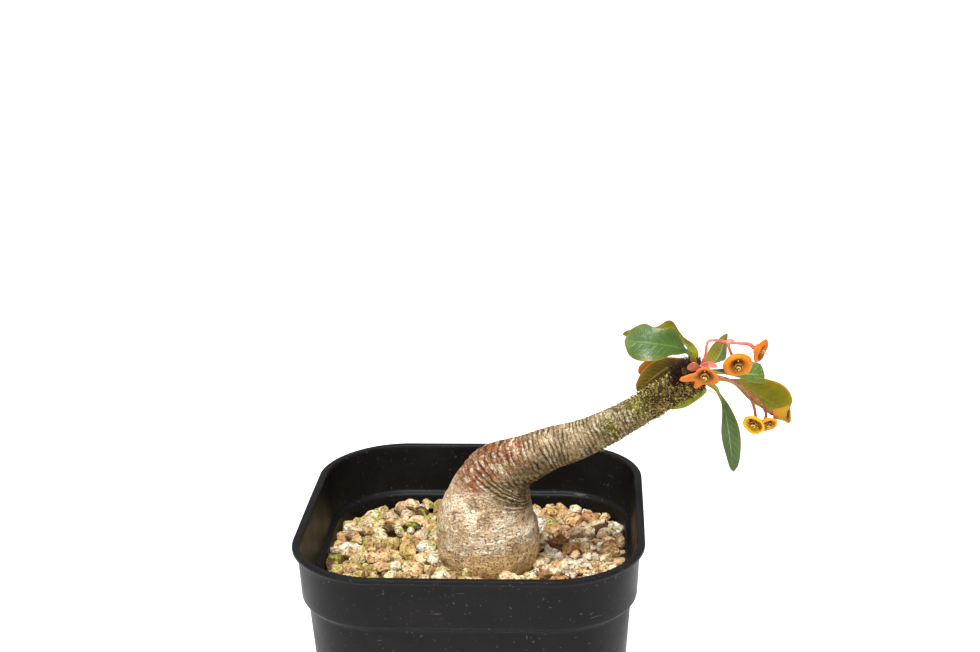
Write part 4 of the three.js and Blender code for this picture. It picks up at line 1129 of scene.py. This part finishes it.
STALK_RADIUS = 0.45
STALKS = [
    dict(seat=(0.5, -0.53, 0.69), branches=[
        [(0, 0, 0), (1.1, -1.6, 4.6), (1.3, -2.3, 7.5), (1.9, -2.3, 8.8), (4.0, -2.0, 8.9),
         (6.9, -1.3, 8.1), (10.1, -0.6, 7.6), (12.2, -0.3, 7.3), (13.5, -0.3, 6.3)],
        [(6.7, -1.3, 8.1), (7.3, -1.1, 6.0), (8.3, -0.6, 3.6), (9.2, -0.5, 2.4)]],
        colours=((0.66, 0.17, 0.13), (0.50, 0.08, 0.055))),
    dict(seat=(0.77, -0.46, 0.44), branches=[
        [(0, 0, 0), (4.1, -0.6, -0.6), (6.4, -0.6, -1.4), (9.0, 0.2, -3.0), (11.7, 0.4, -5.7)],
        [(11.5, 0.4, -5.4), (12.2, 0.2, -7.1), (13.0, -0.1, -9.6), (13.4, -0.1, -12.3)],
        [(11.5, 0.4, -5.4), (14.4, 1.2, -8.2), (16.3, 2.4, -10.7), (18.0, 3.2, -12.0)],
        [(15.3, 1.9, -9.4), (16.2, 2.4, -11.6), (16.1, 2.4, -13.3)]],
        colours=((0.42, 0.13, 0.065), (0.20, 0.05, 0.022))),
    dict(seat=(0.2, -0.85, 0.5), branches=[
        [(0, 0, 0), (1.1, -1.6, 2.9), (1.8, -3.0, 2.6), (2.2, -3.7, 2.0)]],
        colours=((0.66, 0.20, 0.12), (0.52, 0.10, 0.05))),
]


def stalk_finish(name, light, dark):
    """Fleshy stalk skin between two reds, with a soft waxy gloss."""
    finish, tree, shader = new_finish(name, Specular_IOR_Level=0.25)
    colour = blend(tree, mottle(tree, 330, 0.35, 0.65, 4), light, dark)
    flecks = times(tree, mottle(tree, 1800, 0.5, 0.7, 2), 0.3)
    colour = blend(tree, flecks, colour, (0.75, 0.45, 0.3))
    coat(tree, shader, colour, between(tree, mottle(tree, 900), 0, 1, 0.4, 0.55))
    relief(tree, shader, mottle(tree, 1400, 0.3, 0.7, 3), 0.0001, 0.5)
    return finish


def stalk_rod(start, offsets, rows=64, columns=14):
    """A rod along a smooth curve; its radius swells by 0.5 at the foot and 0.35 at the end."""
    route = start + np.array(offsets, float)
    centres = smooth_curve(route, even_shares(route, rows))
    u = np.linspace(0, 1, rows)
    foot, end = np.exp(-((u / 0.12) ** 2)), np.exp(-(((1 - u) / 0.1) ** 2))
    radii = STALK_RADIUS * (0.86 + 0.5 * foot + 0.35 * end)
    radii = radii * (1 + 0.08 * lumps(centres, 1.7, 91))
    return closed_tube(sweep(centres, radii, columns, np.array([0.13, 0.97, 0.21]))[0])


def scale_bract(foot, aim, looks, length, width):
    """A small pointed scale: an oval closed sheet from foot along aim, cupped towards looks."""
    rows, columns = 20, 28
    aim, looks = (np.array(d, float) / np.linalg.norm(d) for d in (aim, looks))
    side = np.cross(aim, looks)
    side /= np.linalg.norm(side)
    looks = np.cross(side, aim)
    u = np.linspace(0, 1, rows)[:, None]
    loop = np.linspace(0, 2 * np.pi, columns, endpoint=False)
    v, up = -np.cos(loop), np.sign(np.sin(loop)) * np.sqrt(np.abs(np.sin(loop)))
    half = width / 2 * (0.25 + np.sin(np.pi * u**0.8) ** 0.8)
    half = half * np.sqrt(np.clip((1 - u) / 0.1, 0.001, 1))
    lift = 0.18 * up + 0.35 * half * v**2 + 0.25 * length * u**2
    return closed_tube(foot + (u * length)[..., None] * aim + (v * half)[..., None] * side
                       + lift[..., None] * looks)


SCALES = {  # for each stalk: foot, direction, where the face looks, length and width
    0: [((0.2, -0.6, 0.6), (0.3, -0.3, 0.9), (0.3, -0.9, 0.2), 3.0, 1.9),
        ((1.2, -0.6, 2.2), (0.95, -0.2, -0.32), (0.1, -0.8, 0.6), 3.2, 1.3),
        ((1.4, -2.5, 8.6), (0.9, 0.1, 0.1), (0.1, -0.4, 1), 1.8, 0.9),
        ((6.2, -1.6, 8.3), (0.9, -0.2, 0.1), (0, -0.7, 0.7), 2.2, 1.1)],
    1: [((12.1, 0.1, -5.6), (0.6, -0.3, -0.8), (0.5, -0.7, 0.5), 1.8, 1.1)],
    2: [((-0.3, -0.6, 1.5), (-0.1, -0.15, 0.98), (-0.2, -0.97, 0.1), 2.8, 2.9),
        ((1.4, -1.6, 2.2), (0.9, -0.4, 0.1), (0.3, -0.9, 0.4), 2.6, 1.5)],
}
stalk_starts = []
for number, stalk in enumerate(STALKS):
    start = crown_seat(stalk["seat"], STALK_RADIUS / 2)
    stalk_starts.append(start)
    bodies = [stalk_rod(start, offsets) for offsets in stalk["branches"]]
    bodies += [scale_bract(start + np.array(foot), *shape) for foot, *shape in SCALES[number]]
    finish = stalk_finish(f"stalk_skin_{number + 1}", *stalk["colours"])
    rods = make_piece(f"stalk_{number + 1}", *joined(bodies), finish)
    stands_for(rods, f"flower_stalk_{number + 1}")

# ---- flowers --------------------------------------------------------------------------------
# Six cyathia: each is a small brown-gold cup with five glands and a tuft of stamens, held
# between two ruffled orange bracts that meet round it as a flared collar.

CUP_RADIUS, CUP_HEIGHT = 1.15, 1.9
BRACT_THICKNESS = 0.34
FLOWERS = [
    dict(stalk=0, branch=1, aim=(0.15, -0.92, -0.3), reach=3.7, depth=1.3, curl=0.8, ruffle=0.12,
         lobes=[], bract=((0.58, 0.175, 0.004), (0.20, 0.06, 0.004), (0.68, 0.22, 0.010))),
    dict(stalk=0, branch=0, aim=(0.82, -0.45, -0.25), reach=2.9, depth=2.2, curl=0.9, ruffle=0.2,
         lobes=[(250, 0.7, 40), (90, 0.5, 50)],
         bract=((0.50, 0.115, 0.003), (0.55, 0.17, 0.008), (0.52, 0.14, 0.005))),
    dict(stalk=1, branch=1, aim=(-0.35, -0.85, -0.45), reach=2.9, depth=1.7, curl=0.4, ruffle=0.1,
         lobes=[(230, 0.5, 60)],
         bract=((0.78, 0.42, 0.012), (0.62, 0.38, 0.012), (0.66, 0.31, 0.012))),
    dict(stalk=1, branch=3, aim=(0.25, -0.8, -0.5), reach=2.6, depth=1.7, curl=0.4, ruffle=0.1,
         lobes=[], bract=((0.78, 0.34, 0.010), (0.60, 0.27, 0.010), (0.66, 0.26, 0.012))),
    dict(stalk=1, branch=2, aim=(0.9, -0.35, 0.1), reach=2.3, depth=3.6, curl=0.0, ruffle=0.08,
         lobes=[], bract=((0.36, 0.225, 0.014), (0.48, 0.14, 0.03), (0.46, 0.19, 0.012))),
    dict(stalk=2, branch=0, aim=(-0.1, -0.93, -0.3), reach=2.5, depth=1.0, curl=0.3, ruffle=0.1,
         lobes=[(186, 4.3, 15), (229, 2.4, 15), (330, 1.2, 35)],
         bract=((0.50, 0.135, 0.010), (0.32, 0.08, 0.008), (0.62, 0.19, 0.045))),
]


def bract_sheet(turn, flower, random_phase, rows=34, columns=84):
    """One bract before it is placed: a closed thin sheet round half the cup, out to reach. It
    rises by depth * sin(u * 90 degrees), its rim curls back, small waves grow with u^2, and
    each lobe (angle, length, width in degrees) draws out the rim by a bell curve."""
    inner = CUP_RADIUS + 0.12
    u = np.linspace(0, 1, rows)[:, None]
    loop = np.linspace(0, 2 * np.pi, columns, endpoint=False)
    v = np.cos(loop)
    up = np.sign(np.sin(loop)) * np.sqrt(np.abs(np.sin(loop)))
    angle = turn + v * np.radians(92)
    ruffle = np.sin(2 * angle + random_phase) + 0.5 * np.sin(5 * angle + 2.3 * random_phase)
    drawn = 0
    for lobe_angle, length, width in flower["lobes"]:
        off = (np.degrees(angle) - lobe_angle + 180) % 360 - 180
        drawn = drawn + length * np.exp(-((off / width) ** 2))
    radius = inner + (flower["reach"] - inner) * u**0.9 + drawn * u**1.5
    radius = radius * (1 + 0.04 * u**2 * ruffle)
    lift = 0.15 * CUP_HEIGHT + flower["depth"] * np.sin(u * np.pi / 2)
    lift = lift + flower["ruffle"] * u**2 * ruffle
    lift = lift - flower["curl"] * rise(u, 0.62, 1.0) ** 1.5 + 0.1 * drawn * u
    rim = 1 + 0.9 * np.exp(-(((1 - u) / 0.08) ** 2))
    closing = 0.5 + 0.5 * np.sqrt(np.clip((1 - u) / 0.05, 0.01, 1))
    lift = lift + BRACT_THICKNESS / 2 * up * rim * closing
    lift = lift + (0.05 if turn > 1 else -0.05) * np.abs(v) ** 6
    around = np.broadcast_to(angle / (2 * np.pi), lift.shape)
    return turned(radius, angle, lift), np.broadcast_to(u, lift.shape), around


def bract_finish(name, colours):
    """Orange bract skin: darker and browner towards the cup, veined outwards, paler along a
    thin rim, from the UV map's distance along the bract and angle round it."""
    main, throat, rim = colours
    finish, tree, shader = new_finish(name, Specular_IOR_Level=0.2)
    out, turn = along_across(tree)
    colour = blend(tree, between(tree, out, 0.08, 0.5), throat, main)
    swirl = sums(tree, "ADD", turn, times(tree, mottle(tree, 400, 0.2, 0.8, 2), 0.03))
    swirl.node.use_clamp = False
    vein = between(tree, sums(tree, "SINE", slope(tree, swirl, 110.0, 0.5)), 0.3, 1.0)
    colour = blend(tree, times(tree, vein, 0.1), colour, throat)
    colour = blend(tree, times(tree, mottle(tree, 380, 0.45, 0.7, 5), 0.4), colour, rim)
    colour = blend(tree, between(tree, out, 0.85, 1.0, 0, 0.8), colour, rim)
    coat(tree, shader, colour, between(tree, mottle(tree, 1200), 0, 1, 0.38, 0.55))
    height = sums(tree, "ADD", times(tree, vein, 0.3), mottle(tree, 500, 0.3, 0.7, 4))
    relief(tree, shader, height, 0.00012, 0.7)
    return finish


def cup_bodies():
    """The cup before it is placed: a small bell with a lip, five oval glands on the lip and
    seven stamens, each a thin rod with a round head."""
    profile = soften([(0.15, 0), (0.62, 0.1), (1.0, 0.9), (1.12, 1.7), (1.05, 1.95), (0.85, 1.85),
                      (0.7, 1.2), (0.15, 1.0)], 0.25)
    angle = np.linspace(0, 2 * np.pi, 40, endpoint=False)
    flutes = 1 + 0.05 * np.cos(5 * angle)
    bodies = [closed_tube(turned(profile[:, :1] * flutes, angle, profile[:, 1:]))]
    ball, triangles = icosphere(3)
    for turn in np.arange(5) * 2 * np.pi / 5 + 0.3:
        spin = turns(np.array([turn]), np.zeros(1), np.zeros(1))[0]
        gland = ball * np.array([0.22, 0.36, 0.12]) + np.array([0.98, 0, 1.98])
        bodies.append((gland @ spin.T, [triangles]))
    small, small_triangles = icosphere(2)
    for index in range(7):
        turn, lean = index * 2.4, 0.12 + 0.05 * (index % 3)
        foot = turned(np.array(0.25), turn, 1.0)
        head = turned(np.array(0.25 + lean), turn, 2.1 + 0.12 * (index % 4))
        rod = np.linspace(foot, head, 8)
        bodies.append(closed_tube(sweep(rod, np.full(8, 0.07), 8, np.array([1.0, 0.2, 0.0]))[0]))
        bodies.append((small * 0.17 + head, [small_triangles]))
    return bodies


def cup_finish():
    """Waxy cup skin: its laid-on tint with rusty mottling."""
    finish, tree, shader = new_finish("cup_skin", Specular_IOR_Level=0.5, Roughness=0.4)
    rusty = times(tree, mottle(tree, 900, 0.4, 0.6, 3), 0.4)
    coat(tree, shader, blend(tree, rusty, painted(tree, "tint"), (0.35, 0.14, 0.02)))
    relief(tree, shader, mottle(tree, 1500, 0.3, 0.7, 2), 0.0001, 0.5)
    return finish


CUP_SKIN = cup_finish()
CUP_BROWN, LIP_GOLD = np.array((0.15, 0.08, 0.008)), np.array((0.24, 0.11, 0.008))
POLLEN = np.array((0.88, 0.58, 0.10))
for number, flower in enumerate(FLOWERS, 1):
    stalk = STALKS[flower["stalk"]]
    end = stalk_starts[flower["stalk"]] + np.array(stalk["branches"][flower["branch"]][-1])
    aim = Vector(flower["aim"]).normalized()
    turn = np.array(Vector((0, 0, 1)).rotation_difference(aim).to_matrix())
    seat = end + np.array(aim) * (0.55 * STALK_RADIUS)
    points, faces = joined(cup_bodies())
    tuft = np.linalg.norm(points[:, :2], axis=1) < 0.62
    yellow = (rise(points[:, 2], 1.6, 2.1) * tuft)[:, None]
    tint = np.where(points[:, 2:] < 1.6, CUP_BROWN, LIP_GOLD)
    tint = tint + (POLLEN - tint) * yellow
    placed = points @ turn.T + seat
    cup = make_piece(f"cyathium_{number}_cup", placed, faces, CUP_SKIN, {"tint": tint})
    stands_for(cup, f"flower_{number}_cup")
    finish = bract_finish(f"bract_skin_{number}", flower["bract"])
    for side, heading_angle in (("left", np.pi), ("right", 0.0)):
        rings, out, around = bract_sheet(heading_angle, flower, number * 1.7)
        points, faces = closed_tube(rings)
        middle = heading_angle / (2 * np.pi)
        uv = np.vstack([np.stack([out, around], -1).reshape(-1, 2), [0, middle], [1, middle]])
        placed = points @ turn.T + seat
        bract = make_piece(f"cyathium_{number}_bract_{side}", placed, faces, finish, uv=uv)
        stands_for(bract, f"flower_{number}_bract_{side}")

# ---- setting --------------------------------------------------------------------------------
# A plain pale floor under soft studio light, seen from a little above the rim of the pot. The
# floor is bright enough to run to white as a lit table does.

floor_finish, tree, shader = new_finish("pale_floor", Roughness=0.9, Specular_IOR_Level=0.1)
shader.inputs["Base Color"].default_value = rgba((0.85, 0.85, 0.85))
shader.inputs["Emission Color"].default_value = rgba((1, 1, 1))
shader.inputs["Emission Strength"].default_value = 0.6
FLOOR_HALF = 4000.0
corners = FLOOR_HALF * np.array([(-1, -1, 0), (1, -1, 0), (1, 1, 0), (-1, 1, 0)])
floor = make_piece("floor", corners, [np.array([[0, 1, 2, 3]])], floor_finish)

world = bpy.data.worlds.new("studio")
bpy.context.scene.world = world
world.use_nodes = True
sky = world.node_tree.nodes["Background"].inputs
sky["Color"].default_value, sky["Strength"].default_value = rgba((1, 1, 1)), 0.45


def soft_light(name, place, target, size, watts):
    """A square area light of the given size in metres, turned from place towards target."""
    lamp = bpy.data.lights.new(name, "AREA")
    lamp.size, lamp.energy = size, watts
    held = bpy.data.objects.new(name, lamp)
    bpy.context.scene.collection.objects.link(held)
    held.location = place
    held.rotation_euler = (Vector(target) - Vector(place)).to_track_quat("-Z", "Y").to_euler()


soft_light("key", (-0.12, -0.2, 0.95), (0.0, 0.0, 0.07), 0.4, 14.0)
soft_light("front", (0.1, -0.85, 0.5), (0.0, 0.0, 0.07), 0.5, 3.0)

CAMERA_PLACE = Vector((0.0335754, -0.4064924, 0.2600803))
CAMERA_RIGHT = Vector((0.99780445, 0.06324513, -0.01965531))
CAMERA_UP = Vector((-0.00052276, 0.30428993, 0.95257932))
CAMERA_AHEAD = Vector((-0.06622692, 0.95047761, -0.30365491))
lens = bpy.data.cameras.new("studio_camera")
lens.sensor_width, lens.sensor_fit, lens.lens = 36.0, "HORIZONTAL", 61.134
lens.clip_start, lens.clip_end = 0.01, 50.0
camera = bpy.data.objects.new("studio_camera", lens)
bpy.context.scene.collection.objects.link(camera)
facing = Matrix((CAMERA_RIGHT, CAMERA_UP, -CAMERA_AHEAD)).transposed().to_4x4()
camera.matrix_world = Matrix.Translation(CAMERA_PLACE) @ facing
bpy.context.scene.camera = camera
bpy.context.scene.view_settings.view_transform = "Standard"
